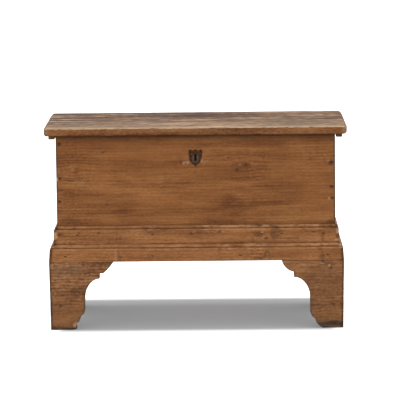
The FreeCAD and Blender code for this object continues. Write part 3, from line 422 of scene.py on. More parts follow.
def rounded(corners, step):
    """Walks round a polygon of (a, b, radius) corners, with the arcs joined by straights of about step.

    Also returns +1 on outward arcs and -1 on inward ones, which fades along the sides.
    """
    places = np.array([corner[:2] for corner in corners], float)
    before, after = np.roll(places, 1, axis=0) - places, np.roll(places, -1, axis=0) - places
    before = before / np.linalg.norm(before, axis=1)[:, None]
    after = after / np.linalg.norm(after, axis=1)[:, None]
    turn = np.sign(after[:, 0] * before[:, 1] - after[:, 1] * before[:, 0])
    turn = turn * np.sign(turn.sum())
    arcs = [arc_points(*row, corner[2]) for *row, corner in zip(places, before, after, corners)]
    walk, edge = [], []
    for arc, following, bulge, next_bulge in zip(arcs, arcs[1:] + arcs[:1], turn, np.roll(turn, -1)):
        gap = np.linalg.norm(following[0] - arc[-1])
        count = int(gap / step) + 1
        along = np.arange(1, count)[:, None] / count
        here, there = along[:, 0] * gap, (1 - along[:, 0]) * gap
        walk += [arc, arc[-1] * (1 - along) + following[0] * along]
        edge.append(np.full(len(arc), bulge))
        edge.append(bulge * np.exp(-here / EDGE_REACH) + next_bulge * np.exp(-there / EDGE_REACH))
    return np.concatenate(walk), np.concatenate(edge)


print("a triangle is walked in", len(rounded([(0, 0, .1), (1, 0, .1), (1, 1, .1)], .2)[0]), "points")

# %% [markdown]
# ## A section carried round the case
#
# The section is carried along the case from station to station. The front piece is mitred at both ends: a
# point that stands further out also reaches further along, and the last stations turn round the arris.

# %% Carried along
def loft(rings):
    """Joins rings of points, one per station, into a closed skin; each end is capped by one flat face."""
    stations, around = rings.shape[:2]
    number = np.arange(stations * around).reshape(stations, around)
    ahead = np.roll(number, -1, axis=1)
    quads = np.stack([number[:-1], ahead[:-1], ahead[1:], number[1:]], axis=-1).reshape(-1, 4)
    return rings.reshape(-1, 3), quads.tolist() + [number[0, ::-1].tolist(), number[-1].tolist()]


def corner_run(length, out, easing, step):
    """Stations from the middle to a mitred corner: straight, then an eighth of a turn round the arris.

    Returns how far along and how far in from the face each point of each station lies.
    """
    radius = np.minimum(easing, out)
    straight = np.linspace(0, 1, int(length / step))[:, None]
    angle = np.linspace(0, math.pi / 4, 5)[1:, None]
    reach = length + out - radius
    along = np.concatenate([straight * reach, reach + radius * np.sin(angle)])
    inward = np.concatenate([np.zeros((len(straight), len(out))), radius * (1 - np.cos(angle))])
    return along, inward


def front_carry(section, half, front, easing, step):
    """A front moulding: the section mirrored either way from the middle out to both mitres."""
    out, height = section.T
    along, inward = corner_run(half, out, easing, step)
    along = np.concatenate([-along[:0:-1], along])
    inward = np.concatenate([inward[:0:-1], inward])
    depth = front - out + inward
    return np.stack([along, depth, np.broadcast_to(height, along.shape)], axis=-1)


def side_carry(section, half, front, back, side, easing, step):
    """A side moulding: from the mitre at the front to a square end at the back."""
    out, height = section.T
    along, inward = corner_run(back - front, out, easing, step)
    across = side * (half + out - inward)
    return np.stack([across, back - along, np.broadcast_to(height, along.shape)], axis=-1)


print("stations along a moulding", corner_run(0.4, np.array([0.01, 0.02]), 3 * MM, 10 * MM)[0].shape)

# %% [markdown]
# ## From points to a mesh
#
# Each finished skin becomes a mesh. A mesh can carry a number for every point, and that is how the finish
# learns which way the grain runs there, how rubbed, dirty, pale or weathered the wood is, and where shade
# is painted on it.

# %% Meshes and their layers
def read_points(mesh):
    """All of a mesh's points as rows of numbers."""
    points = np.empty(len(mesh.vertices) * 3, np.float32)
    mesh.vertices.foreach_get("co", points)
    return points.reshape(-1, 3).astype(float)


def write_points(mesh, points):
    """Puts changed points back into their mesh."""
    mesh.vertices.foreach_set("co", points.astype(np.float32).ravel())
    mesh.update()


def face_outwards(mesh):
    """Merges the doubles of a closed mesh and turns its faces outwards."""
    work = bmesh.new()
    work.from_mesh(mesh)
    bmesh.ops.remove_doubles(work, verts=work.verts, dist=1e-7)
    bmesh.ops.recalc_face_normals(work, faces=work.faces)
    work.to_mesh(mesh)
    work.free()


def paint(mesh, name, values):
    """Stores one number or one vector per point for the finish to read."""
    kind, field = ("FLOAT_VECTOR", "vector") if values.ndim == 2 else ("FLOAT", "value")
    layer = mesh.attributes.new(name, kind, "POINT")
    layer.data.foreach_set(field, values.astype(np.float32).ravel())


def painted(mesh, name):
    """Reads a layer of single numbers back."""
    values = np.empty(len(mesh.vertices), np.float32)
    mesh.attributes[name].data.foreach_get("value", values)
    return values.astype(float)


def mesh_of(name, points, faces, **layers):
    """A mesh from points and faces, with any layers of numbers that were worked out with the points."""
    mesh = bpy.data.meshes.new(name)
    mesh.from_pydata(points.tolist(), [], faces if isinstance(faces, list) else faces.tolist())
    for layer, values in layers.items():
        paint(mesh, layer, values.ravel())
    face_outwards(mesh)
    return mesh


def box_mesh(low, high):
    """A plain box, for cutting with."""
    points, quads = skin(*np.stack([low, high], axis=1))
    return mesh_of("cutter", points, quads)


print("faces of a box", len(skin([0, 1], [0, 1], [0, 1])[1]))

# %% [markdown]
# ## Sinking, cutting and placing
#
# Wear only takes wood away, so a surface sinks along its own normals and never swells. Seats for iron are
# cut with an exact boolean, as a joiner would cut them with a chisel. At last a piece is linked, smoothed
# where it is smooth, and hung on its body, and the solids it stands for are hidden.

# %% Sinking, cutting and placing
SHARP_ANGLE = math.radians(50)


def sink(mesh, depth):
    """Moves each point inwards along its normal by depth(points)."""
    points = read_points(mesh)
    normals = np.empty(len(points) * 3, np.float32)
    mesh.vertices.foreach_get("normal", normals)
    write_points(mesh, points - normals.reshape(-1, 3) * depth(points)[:, None])


def carve(mesh, cutters):
    """The mesh less each cutter, by an exact boolean."""
    body = bpy.data.objects.new("carved", mesh)
    bpy.context.scene.collection.objects.link(body)
    for number, cutter in enumerate(cutters):
        tool = bpy.data.objects.new(f"cutter_{number}", cutter)
        bpy.context.scene.collection.objects.link(tool)
        taken = body.modifiers.new(f"cut_{number}", "BOOLEAN")
        taken.object = tool
        taken.solver = "EXACT"
    bpy.context.view_layer.update()
    whole = body.evaluated_get(bpy.context.evaluated_depsgraph_get())
    made = bpy.data.meshes.new_from_object(whole)
    for thing in [body] + [mod.object for mod in body.modifiers]:
        bpy.data.objects.remove(thing)
    return made


def put(name, mesh, finish, nodes, body):
    """Links the piece, its finish in its slot, hangs it on its body and hides the CAD pieces it stands for.
    """
    mesh.polygons.foreach_set("use_smooth", np.ones(len(mesh.polygons), bool))
    mesh.set_sharp_from_angle(angle=SHARP_ANGLE)
    mesh.materials.clear()
    mesh.materials.append(finish)
    piece = bpy.data.objects.new(name, mesh)
    bpy.context.scene.collection.objects.link(piece)
    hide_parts(*nodes)
    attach(piece, body)
    return piece


print("edges sharper than", round(math.degrees(SHARP_ANGLE)), "degrees stay crisp")

# %% [markdown]
# ## A recipe of nodes
#
# A material is a tree of nodes. Linking it by hand takes three lines a node, so a small class does it in
# one: every step adds a node, plugs in what it is given and returns what the node puts out.

# %% Tones
def tone(red, green, blue):
    """A colour as it is written on screen, 0 to 255, turned into light: the sRGB curve undone."""
    level = np.array([red, green, blue]) / 255
    light = np.where(level <= 0.04045, level / 12.92, ((level + 0.055) / 1.055) ** 2.4)
    return (*map(float, light), 1)


def tones(*triples):
    """Several such colours at once."""
    return [tone(*triple) for triple in triples]


print("mid brown in light", tone(134, 88, 53))

# %% A recipe of nodes
class Recipe:
    """A material's node tree, built one step at a time; every step returns what it puts out."""

    def __init__(self, name):
        self.material = bpy.data.materials.new(name)
        self.material.use_nodes = True
        self.tree = self.material.node_tree
        self.shader = self.tree.nodes["Principled BSDF"]

    def add(self, kind, inputs, output=0, **choices):
        """One node. Inputs are keyed by name, or by number among those in use."""
        node = self.tree.nodes.new("ShaderNode" + kind)
        for name, choice in choices.items():
            setattr(node, name, choice)
        used = [socket for socket in node.inputs if socket.enabled]
        for key, value in inputs.items():
            socket = node.inputs[key] if isinstance(key, str) else used[key]
            if isinstance(value, bpy.types.NodeSocket):
                self.tree.links.new(value, socket)
            else:
                socket.default_value = value
        if isinstance(output, str):
            return node.outputs[output]
        return [socket for socket in node.outputs if socket.enabled][output]

    def sum(self, *values):
        """The first value, plus each of the others in turn."""
        total = values[0]
        for value in values[1:]:
            total = self.add("Math", {0: total, 1: value}, operation="ADD")
        return total

    def times(self, a, b):
        """a times b."""
        return self.add("Math", {0: a, 1: b}, operation="MULTIPLY")

    def spread(self, value, low, high, to_low=0.0, to_high=1.0):
        """Stretches the span from low to high on to another and stops at its ends."""
        names = {"Value": value, "From Min": low, "From Max": high, "To Min": to_low, "To Max": to_high}
        return self.add("MapRange", names)

    def mix(self, amount, a, b, blend="MIX"):
        """The colour a where amount is 0 and b where it is 1."""
        return self.add("Mix", {0: amount, 1: a, 2: b}, data_type="RGBA", blend_type=blend)

    def read(self, name, output="Fac"):
        """A layer that was painted on the mesh."""
        return self.add("Attribute", {}, output, attribute_name=name)

    def stretch(self, vector, scale):
        """A place, times a scale of its own in each direction."""
        return self.add("Mapping", {"Vector": vector, "Scale": scale})

    def noise(self, vector, scale, detail=2.0, output="Fac"):
        """Noise with its own scale in each direction, in bumps a metre."""
        inputs = {"Vector": self.stretch(vector, scale), "Scale": 1.0, "Detail": detail}
        return self.add("TexNoise", inputs, output)

    def ramp(self, value, stops):
        """Colours at places from 0 to 1."""
        node = self.tree.nodes.new("ShaderNodeValToRGB")
        self.tree.links.new(value, node.inputs[0])
        stripe = node.color_ramp.elements
        while len(stripe) < len(stops):
            stripe.new(0.5)
        for element, (place, colour) in zip(stripe, stops):
            element.position = place
            element.color = colour
        return node.outputs[0]

    def finish(self, colour, roughness, height, depth, shine=0.3):
        """Joins colour, roughness and a bump of that depth in metres to the shader."""
        self.tree.links.new(colour, self.shader.inputs["Base Color"])
        if isinstance(roughness, bpy.types.NodeSocket):
            self.tree.links.new(roughness, self.shader.inputs["Roughness"])
        else:
            self.shader.inputs["Roughness"].default_value = roughness
        self.shader.inputs["Specular IOR Level"].default_value = shine
        bump = self.add("Bump", {"Height": height, "Distance": depth}, "Normal")
        self.tree.links.new(bump, self.shader.inputs["Normal"])
        return self.material


print("steps of a recipe", [name for name in vars(Recipe) if not name.startswith("_")])

# %% [markdown]
# ## The figure of wood
#
# Wood is read in three directions: along the grain, across it and into the board. Its streaks are noise
# that is stretched ten to twenty times along the grain: broad ones from heart and sapwood, fine ones from
# the year rings, hairs from the fibres. Growth rings are a sine of the distance from the tree's heart. An
# image of a plank would be quicker, but it repeats, and it can't turn round a knot. Scales are in bumps a
# metre.

# %% Figure of wood
BROAD = (3.6, 40.0, 40.0)
FINE = (11.0, 150.0, 150.0)
HAIR = (40.0, 800.0, 800.0)
CLOUD = (8.0, 17.0, 17.0)
FINE_SHARE = 0.15
HAIR_SHARE = 0.06
RING_SHARE = 0.03
RING_PITCH = 11 * MM


def bend_grain(r, grain, swirl):
    """Grain coordinates, pushed sideways by a noise of their own so that the streaks wander."""
    along, across, bend = swirl
    clouds = r.noise(grain, (along, across, across), 3.0, "Color")
    wander = r.add("VectorMath", {0: clouds, 1: (0.5, 0.5, 0.5)}, operation="SUBTRACT")
    return r.add("VectorMath", {0: wander, 1: (0.0, bend, bend), 2: grain}, operation="MULTIPLY_ADD")


def year_rings(r, bent, pith):
    """Half the sine of 2 pi times the distance from the tree's heart over the rings' pitch."""
    side = r.add("SeparateXYZ", {"Vector": bent}, "Y")
    deep = r.sum(r.add("SeparateXYZ", {"Vector": bent}, "Z"), pith)
    far = r.add("Math", {0: r.sum(r.times(side, side), r.times(deep, deep))}, operation="SQRT")
    wave = r.add("Math", {0: r.times(far, 2 * math.pi / RING_PITCH)}, operation="SINE")
    return r.spread(wave, -1.0, 1.0, -0.5, 0.5)


print("streaks", 1000 / BROAD[0], "mm long and", 1000 / BROAD[1], "mm wide")

# %% [markdown]
# ## What age does to it
#
# Bare wood goes grey where sun and dust reach it, first along the soft streaks, and cracks open in it. Use
# rubs the arrises pale and leaves dirt, and painted shade darkens the hollows, the corners and the wood under
# the lid. The points say where, and a scuffed noise makes the borders ragged, so that no patch looks sprayed
# on.

# %% Grey and wear
# This brown is dirt and also painted shade; the near black below it is painted shade only.
DIRT_AND_SHADE = tone(50, 32, 19)
SHADE_BLACK = tone(14, 10, 8)
PATCHES = (8.0, 32.0, 32.0)
CHIPS = (30.0, 52.0, 120.0)
LONG_STREAKS = (2.2, 50.0, 50.0)
CRACKS = (5.0, 210.0, 210.0)
SCUFFS = (45.0, 110.0, 110.0)
GREY_REACH = 0.115
GREY_MIDDLE = 0.84
GREY_PLACES = (0.0, 0.38, 0.66, 1.0)


def grey_coat(r, colour, grey, grain, bent, fine):
    """Four greys along a sum of patches, chips and streaks, with dark cracks through them."""
    patches = r.noise(grain, PATCHES, 4.0)
    coat = r.times(r.read("weather"), r.spread(patches, 0.3, 0.5, 0.86, 1.0))
    faded = r.sum(r.times(patches, 0.3), r.times(r.noise(grain, CHIPS, 4.0), 0.34), r.times(fine, 0.36),
                  r.times(r.noise(bent, LONG_STREAKS, 5.0), 0.66), -GREY_MIDDLE)
    old = r.ramp(r.spread(faded, -GREY_REACH, GREY_REACH), list(zip(GREY_PLACES, grey)))
    colour = r.mix(coat, colour, old)
    crack = r.spread(r.noise(grain, CRACKS, 2.0), 0.3, 0.36, 0.7, 0.0)
    return r.mix(r.times(crack, coat), colour, DIRT_AND_SHADE)


def wear_coat(r, colour, rubbed, grain):
    """Rubbed, pale and dark places as the points say, ragged by scuffs, and black painted shade over all."""
    scuff = r.noise(grain, SCUFFS, 4.0)
    colour = r.mix(r.times(r.read("rub"), r.spread(scuff, 0.38, 0.58)), colour, rubbed)
    colour = r.mix(r.times(r.read("pale"), r.spread(scuff, 0.3, 0.55, 0.5, 1.0)), colour, rubbed)
    colour = r.mix(r.times(r.read("dark"), r.spread(scuff, 0.3, 0.65, 1.0, 0.55)), colour, DIRT_AND_SHADE)
    return r.mix(r.read("soot"), colour, SHADE_BLACK)


print("dirt in light", DIRT_AND_SHADE)

# %% [markdown]
# ## Old wood
#
# All layers together make one finish: the figure picks a brown, a broad wash warms it, then come the grey,
# the pores, the wear and a faint relief. Each kind of board gets its own browns and its own strengths.

# %% Wood
FIGURE_REACH = 0.105
WASH = (2.4, 6.5, 6.5)
PORES = (70.0, 1400.0, 1400.0)
FLECKS = (95.0, 210.0, 210.0)
GENTLE_SWIRL = (3.0, 9.0, 0.014)
RELIEF = 0.5 * MM


def wood(name, browns, rubbed, glow=None, grey=None, pith=0.06, ringed=0.06, shine=0.12, streak=0.36,
         mottle=0.27, fleck=0.17, fleck_size=FLECKS, swirl=GENTLE_SWIRL):
    """An old wood finish: streaks, flecks and rings between three browns, with wear, dirt and a grey coat."""
    r = Recipe(name)
    grain = r.read("grain", "Vector")
    lively = r.read("lively")
    bent = bend_grain(r, grain, swirl)
    fine = r.noise(bent, FINE, 3.0)
    hair = r.noise(bent, HAIR, 2.0)
    cloud = r.noise(grain, CLOUD, 4.0)
    flecks = r.sum(r.noise(bent, fleck_size, 3.0), -0.5)
    middle = -0.5 * (streak + FINE_SHARE + HAIR_SHARE + mottle)
    figure = r.sum(r.times(r.noise(bent, BROAD, 4.0), streak), r.times(fine, FINE_SHARE),
                   r.times(hair, HAIR_SHARE), r.times(cloud, mottle), middle,
                   r.times(flecks, r.sum(r.times(lively, fleck), fleck)),
                   r.times(year_rings(r, bent, pith), r.sum(r.times(lively, ringed), RING_SHARE)))
    colour = r.ramp(r.spread(figure, -FIGURE_REACH, FIGURE_REACH), list(zip((0.0, 0.5, 1.0), browns)))
    wash = r.noise(grain, WASH, 2.0)
    colour = r.mix(r.spread(wash, 0.42, 0.66, 0.0, 0.55), colour, glow or browns[2])
    if grey:
        colour = grey_coat(r, colour, grey, grain, bent, fine)
    pore = r.spread(r.noise(grain, PORES, 1.0), 0.60, 0.72, 0.0, 0.4)
    colour = wear_coat(r, r.mix(pore, colour, DIRT_AND_SHADE), rubbed, grain)
    roughness = r.spread(r.sum(r.times(fine, 0.6), r.times(cloud, 0.4)), 0.35, 0.65, 0.45, 0.65)
    relief = r.sum(r.times(hair, 0.5), r.times(fine, 0.7), r.times(flecks, 0.5), r.times(pore, -0.6))
    return r.finish(colour, roughness, relief, RELIEF, shine)


print("wood relief", RELIEF)

# %% Woods of the outside
case_wood = wood("old_case_wood", tones((104, 61, 30), (140, 89, 49), (166, 112, 66)), tone(182, 146, 112),
                 glow=tone(155, 98, 53))
moulding_wood = wood("old_moulding_wood", tones((112, 68, 37), (147, 96, 56), (174, 120, 75)),
                     tone(200, 154, 114), glow=tone(158, 103, 59), pith=0.02, fleck=0.24)
foot_wood = wood("old_foot_wood", tones((92, 60, 36), (138, 92, 57), (172, 124, 84)), tone(200, 160, 126),
                 glow=tone(142, 94, 57), grey=tones((54, 40, 30), (78, 60, 46), (96, 76, 60), (124, 102, 82)),
                 ringed=0.03, streak=0.22, mottle=0.28, fleck=0.18, fleck_size=(80.0, 115.0, 115.0),
                 swirl=(16.0, 20.0, 0.016))
lid_wood = wood("old_lid_wood", tones((94, 55, 31), (132, 87, 54), (160, 112, 72)), tone(206, 176, 142),
                glow=tone(148, 94, 54), pith=0.03, fleck=0.26, shine=0.04,
                grey=tones((40, 26, 19), (90, 64, 47), (116, 87, 65), (176, 142, 111)))
print("woods", [material.name for material in bpy.data.materials if material.name.startswith("old_")])

# %% [markdown]
# ## Plain wood behind
#
# Boards that nobody was meant to see are of cheaper, paler wood, and few hands have rubbed them. Only the
# battens, which hang out from under the lid, are given darker browns.

# %% Plain wood
FRESH = tone(176, 130, 88)
batten_wood = wood("old_batten_wood", tones((66, 46, 31), (98, 71, 48), (126, 97, 70)), FRESH)
back_wood = wood("old_back_wood", tones((96, 68, 45), (130, 98, 68), (158, 126, 91)), FRESH, pith=0.02,
                 streak=0.46, mottle=0.13)
inner_wood = wood("old_inner_wood", tones((130, 96, 62), (164, 126, 86), (190, 154, 112)), FRESH, pith=0.02,
                  streak=0.46, mottle=0.13)
print("plain woods", batten_wood.name, back_wood.name, inner_wood.name)

# %% [markdown]
# ## Marks and grain
#
# Knots, nail stains and chips are ovals, listed in millimetres: how far along the board, how high above the
# floor, half its length, half its height, and how strong it is. Round a knot the grain parts as water does
# round a post, which is what makes it look grown and not painted.

# %% Marks and grain
ALONG_X, ALONG_X_UPRIGHT = (0, 1, 2), (0, 2, 1)
ALONG_Y, ALONG_Y_UPRIGHT = (1, 0, 2), (1, 2, 0)
ALONG_Z = (2, 0, 1)
BOARD_OFFSET = np.array([3.1, 1.7, 0.0])
RIM_DIRT = 0.42
# dark holds dirt and painted shade alike; the last layer is black painted shade
LAYERS = ("rub", "dark", "pale", "weather", "lively", "soot")


def spots(a, b, ovals, seed=0):
    """How strongly marks cover the places (a, b): the strength inside each oval, with a ragged rim."""
    ragged = 0.35 * (noise(np.stack([a, b, b * 0], axis=1), 6 * MM, seed) - 0.5)
    total = np.zeros(len(a))
    for centre_a, centre_b, long, high, strength in ovals:
        away = np.hypot((a - centre_a * MM) / (long * MM), (b - centre_b * MM) / (high * MM)) + ragged
        total = np.maximum(total, strength * (1 - fade(away, 0.75, 1.35)))
    return total


def round_knots(a, b, knots):
    """Where fibres at (a, b) came from: b less across w^2 / (along^2 + across^2 + 0.4 w^2) for each knot."""
    moved = b.copy()
    for centre_a, centre_b, radius in knots:
        along, across = (a - centre_a * MM) / 1.7, b - centre_b * MM
        wide = 1.5 * radius * MM
        moved -= across * wide ** 2 / (along ** 2 + across ** 2 + 0.4 * wide ** 2)
    return moved


def grain_of(points, order, seed, knots=()):
    """Grain coordinates: along, across and into the board, set off by the seed so no two boards match."""
    along, across, into = (points[:, axis] for axis in order)
    across = round_knots(along, across, knots)
    return np.stack([along, across, into], axis=1) + BOARD_OFFSET * seed


def rim_of(points):
    """1 on the case's open rim, where hands and dust darken it, and 0 from 4 mm below."""
    return fade(points[:, 2], case_top - 4 * MM, case_top - 1 * MM)


def paint_all(mesh, grain, **layers):
    """Paints the grain and every named layer; layers that are left out are blank."""
    paint(mesh, "grain", grain)
    for name in LAYERS:
        paint(mesh, name, np.clip(layers.get(name, np.zeros(len(grain))), 0, 1))


print("layers", LAYERS)

# %% [markdown]
# ## The lid's shape
#
# The real lid is one wide board. Hands have worn its front corners in, its ends are rubbed thin, and its
# arrises have lost small bites. A bevelled box would stay too regular, so two curves narrow and thin the
# grid, and noise sinks it. The pocket for the lock's catch is cut from its underside.

# %% Shape of the lid
LID_EASING = np.array([8, 2.2, 2.4]) * MM
LID_STEP = 4.2 * MM
CORNER_REACH = 75 * MM
FRONT_CORNER_LOSS = 4 * MM
BACK_CORNER_LOSS = 2.5 * MM
CORNER_ROUND = 17 * MM
END_HOLD = 120 * MM
END_ROUND = 15 * MM
END_THIN = 0.6
PLAY = 0.3 * MM


def narrow_corners(points):
    """Wears the corners in: a parabola over the last reach of each end, and a round tip at the front."""
    near_front = np.clip((lid_low[1] + CORNER_REACH - points[:, 1]) / CORNER_REACH, 0, 1)
    near_back = np.clip((points[:, 1] - lid_high[1] + CORNER_REACH) / CORNER_REACH, 0, 1)
    tip = np.clip((lid_low[1] + CORNER_ROUND - points[:, 1]) / CORNER_ROUND, 0, 1)
    loss = FRONT_CORNER_LOSS * near_front ** 2 + BACK_CORNER_LOSS * near_back ** 2
    loss = loss + CORNER_ROUND * 0.5 * (1 - np.sqrt(1 - tip ** 2 * 0.9))
    hold = fade(np.abs(points[:, 0]), lid_high[0] - END_HOLD, lid_high[0])
    points[:, 0] -= np.sign(points[:, 0]) * loss * hold
    return points


def round_ends(points):
    """Thins both ends like half an ellipse: the height over the middle times root of 1 - t squared."""
    past = np.clip((np.abs(points[:, 0]) - lid_high[0] + END_ROUND) / END_ROUND, 0, 1)
    middle = (lid_low[2] + lid_high[2]) / 2
    points[:, 2] = middle + (points[:, 2] - middle) * np.sqrt(1 - END_THIN * past ** 2)
    return points


def lid_depth(points):
    """How deep the wood has worn: a wobble all over, and bites out of the arrises, milder at the front."""
    arris = near_arris(points, lid_low, lid_high, 14 * MM)
    wobble = layered(points, (90 * MM, 26 * MM, 26 * MM), 5)
    bites = fade(layered(points, 34 * MM, 9), 0.6, 0.9)
    front_arris = 1 - fade(points[:, 1], lid_low[1] + 4 * MM, lid_low[1] + 30 * MM)
    return 0.1 * MM + 0.5 * MM * wobble + (1.3 - 0.8 * front_arris) * MM * arris ** 2 * bites


def lid_mesh():
    """The worn board less the pocket that takes the catch."""
    points, quads = board(lid_low, lid_high, LID_STEP, LID_EASING, ragged=0.2, seed=3)
    mesh = mesh_of("lid", round_ends(narrow_corners(points)), quads)
    sink(mesh, lid_depth)
    pocket = np.array([box["lock_catch"][0] - PLAY, box["lock_catch"][1] + PLAY])
    pocket[:, 2] = case_top - 5 * MM, box["lock_catch"][1][2]
    return carve(mesh, [box_mesh(*pocket)])


print("lid", lid_high - lid_low)

# %% [markdown]
# ## The lid's surface
#
# The top has gone grey in the light, most of all at the back, and hands have kept its front edge pale. The
# end grain drinks in dirt. Underneath, out of the light, the board is still brown, though painted shade
# darkens its underside and a painted shadow line runs along its lower front arris.

# %% Surface of the lid
def lid_layers(points):
    """Weather on top, pale where handled, end dirt, painted shade below: each fades along one measure."""
    run = points[:, 1] - lid_low[1]
    high = points[:, 2] - case_top
    top = fade(points[:, 2], lid_high[2] - 3 * MM, lid_high[2] - 1 * MM)
    end = fade(np.abs(points[:, 0]), lid_high[0] - 22 * MM, lid_high[0] - 15 * MM)
    arris = near_arris(points, lid_low, lid_high, 7 * MM)
    # a painted shadow line along the lid's lower front arris
    lid_shadow_line = (1 - fade(high, 0.5 * MM, 5 * MM)) * (1 - fade(run, 0, 5 * MM))
    handled = top * (0.26 * (1 - fade(run, 12 * MM, 60 * MM)) + 0.2 * (1 - fade(run, 0.05, 0.36)))
    tip = end * (1 - fade(run, 14 * MM, 30 * MM)) * fade(high, 3 * MM, 10 * MM)
    # painted shade on the underside and the lower front arris; darker towards the back of the top; dirt on
    # the ends
    dirt_and_shade = [0.6 * (1 - fade(high, 0, 3 * MM)), 0.8 * lid_shadow_line, 0.2 * top * fade(run, 0.26, 0.42),
             0.25 * end * (1 - top)]
    return {"rub": 0.8 * fade(arris, 0.45, 0.95) * fade(high, 10 * MM, 18 * MM), "lively": top,
            "weather": np.maximum(top, 0.5 * end), "dark": np.maximum.reduce(dirt_and_shade),
            "pale": np.maximum(handled, 0.38 * tip)}


def dress_lid():
    """The lid, painted and hung on its own body."""
    mesh = lid_mesh()
    points = read_points(mesh)
    paint_all(mesh, grain_of(points, ALONG_X, 2.0), **lid_layers(points))
    return put("lid", mesh, lid_wood, ["lid_board"], "lid")


print("lid points", len(dress_lid().data.vertices))

# %% [markdown]
# ## The front board's marks
#
# The eye goes to the front board, so its marks are set one by one: two knots and their satellites, stains
# round the corner nails, chips by the keyhole, and calm and lively stretches of figure between them.

# %% Marks of the front board
FRONT_KNOTS = [(172, 563, 7), (142, 547, 6), (111, 589, 5), (172, 520, 3), (-418, 548, 8), (-438, 470, 7)]
FRONT_DARK = [(172, 563, 6, 4.5, 0.7), (142, 547, 6, 5, 0.75), (111, 589, 4, 3.5, 0.6),
              (-56, 654, 5, 3, 0.6), (-213, 668, 5, 3, 0.5), (-50, 573, 5, 4, 0.6), (-3, 540, 4, 3.5, 0.5),
              (464, 649, 5, 3, 0.5), (462, 366, 13, 5, 0.7), (-466, 641, 7, 5, 0.9), (-468, 522, 7, 5, 0.9),
              (-469, 443, 7, 5, 0.9), (465, 570, 9, 7, 0.95), (466, 487, 6, 5, 0.9), (467, 447, 8, 5, 0.95),
              (448, 446, 16, 2.2, 0.5), (-51, 577, 4, 4, 0.7), (-317, 612, 5, 3.5, 0.5),
              (322, 500, 3.5, 3, 0.6), (-431, 377, 34, 8, 0.32), (125, 589, 3, 2.5, 0.4),
              (-411, 548, 4, 10, 0.25), (-462, 552, 5, 12, 0.3), (160, 552, 26, 12, 0.12),
              (-70, 576, 40, 5, 0.14), (256, 556, 46, 10, 0.2), (290, 520, 60, 4, 0.14),
              (430, 548, 40, 4, 0.16), (370, 470, 70, 4, 0.12), (370, 460, 130, 120, 0.06)]
FRONT_LIVELY = [(-408, 560, 62, 75, 1.0), (-320, 600, 60, 34, 0.6), (180, 555, 80, 45, 0.8),
                (400, 570, 60, 70, 0.6), (-20, 575, 70, 22, 0.5), (-420, 400, 60, 40, 0.5)]
FRONT_PALE = [(-41, 573, 3, 5, 0.6), (-25, 575, 5, 5, 0.8), (20, 583, 4, 7, 0.8), (-476, 521, 6, 6, 0.95),
              (457, 447, 4, 4, 0.85), (455, 577, 6, 3, 0.4), (-330, 618, 12, 2.5, 0.3),
              (-400, 508, 20, 8, 0.2), (152, 566, 5, 4, 0.3), (-440, 598, 14, 4, 0.12),
              (-426, 562, 15, 5, 0.14), (-434, 530, 17, 5, 0.12), (-33, 576, 9, 3, 0.5),
              (29, 572, 6, 7, 0.14), (-31, 590, 7, 9, 0.12), (36, 578, 9, 4, 0.25)]
print("marks on the front", len(FRONT_DARK) + len(FRONT_PALE))

# %% [markdown]
# ## The keyhole and the lock's seat
#
# A keyhole is two round holes joined by a web for the key's bit, so its outline is two arcs joined by
# straights. Behind it the board is let in for the lock's plate, its turned-over top and its case.

# %% Keyhole and seats
KEY = {"head": 5.1, "foot": 4.7, "web": 3.3}
KEY_FALL = 16.5 * MM
KEYHOLE_SPAN = (front - 9 * MM, front + 30 * MM)
keyhole_middle = key_pin - KEY_FALL / 2
PAST = 8 * MM


def keyhole_cutter():
    """Two round ends and a web between them, run through the board; sizes in millimetres."""
    bottom = math.asin(KEY["web"] / KEY["foot"])
    top = math.asin(KEY["web"] / KEY["head"])
    turn_top = np.linspace(top - math.pi / 2, 1.5 * math.pi - top, 24)
    turn_bottom = np.linspace(math.pi / 2 + bottom, 2.5 * math.pi - bottom, 24)
    across = np.concatenate([KEY["head"] * np.cos(turn_top), KEY["foot"] * np.cos(turn_bottom)]) * MM
    up = np.concatenate([key_pin + KEY["head"] * MM * np.sin(turn_top),
                         key_pin - KEY_FALL + KEY["foot"] * MM * np.sin(turn_bottom)])
    rings = [np.stack([across, np.full(len(up), y), up], axis=1) for y in KEYHOLE_SPAN]
    return mesh_of("keyhole", *loft(np.stack(rings)))


def lock_cutters():
    """The housings for the lock's plate, its turned-over top and its case, with a little play."""
    plate_low, plate_high = box["lock_plate"]
    case_low, case_high = box["lock_case"]
    lows = [(plate_low[0] - PLAY, plate_high[1] - 2 * MM, plate_low[2] - PLAY),
            (plate_low[0] - PLAY, plate_low[1] - PLAY, plate_high[2] - 2 * MM),
            tuple(case_low - PLAY)]
    rights = [plate_high[0], plate_high[0], case_high[0]]
    return [box_mesh(low, (right + PLAY, plate_high[1] + PAST, case_top + PAST))
            for low, right in zip(lows, rights)]


print("keyhole", KEY, "middle at", keyhole_middle)

# %% [markdown]
# ## The front board
#
# Painted shade darkens the board under the lid's edge, with a black painted shadow line just below it,
# above the moulding and along its two ends, more at the right. All of that is painted only on the
# outside. On the inside just the open rim is dark. The keyhole's walls and the wood round them are
# painted black as shade.

# %% Front board
FRONT_STEP = np.array([4, 4, 3.2]) * MM
FRONT_EASING = np.array([3.0, 3.0, 1.0]) * MM


def front_depth(points):
    """How deep the board's face has worn: a low wobble, longer along the grain than across it."""
    return 0.1 * MM + 0.3 * MM * layered(points, (120 * MM, 40 * MM, 18 * MM), 12)


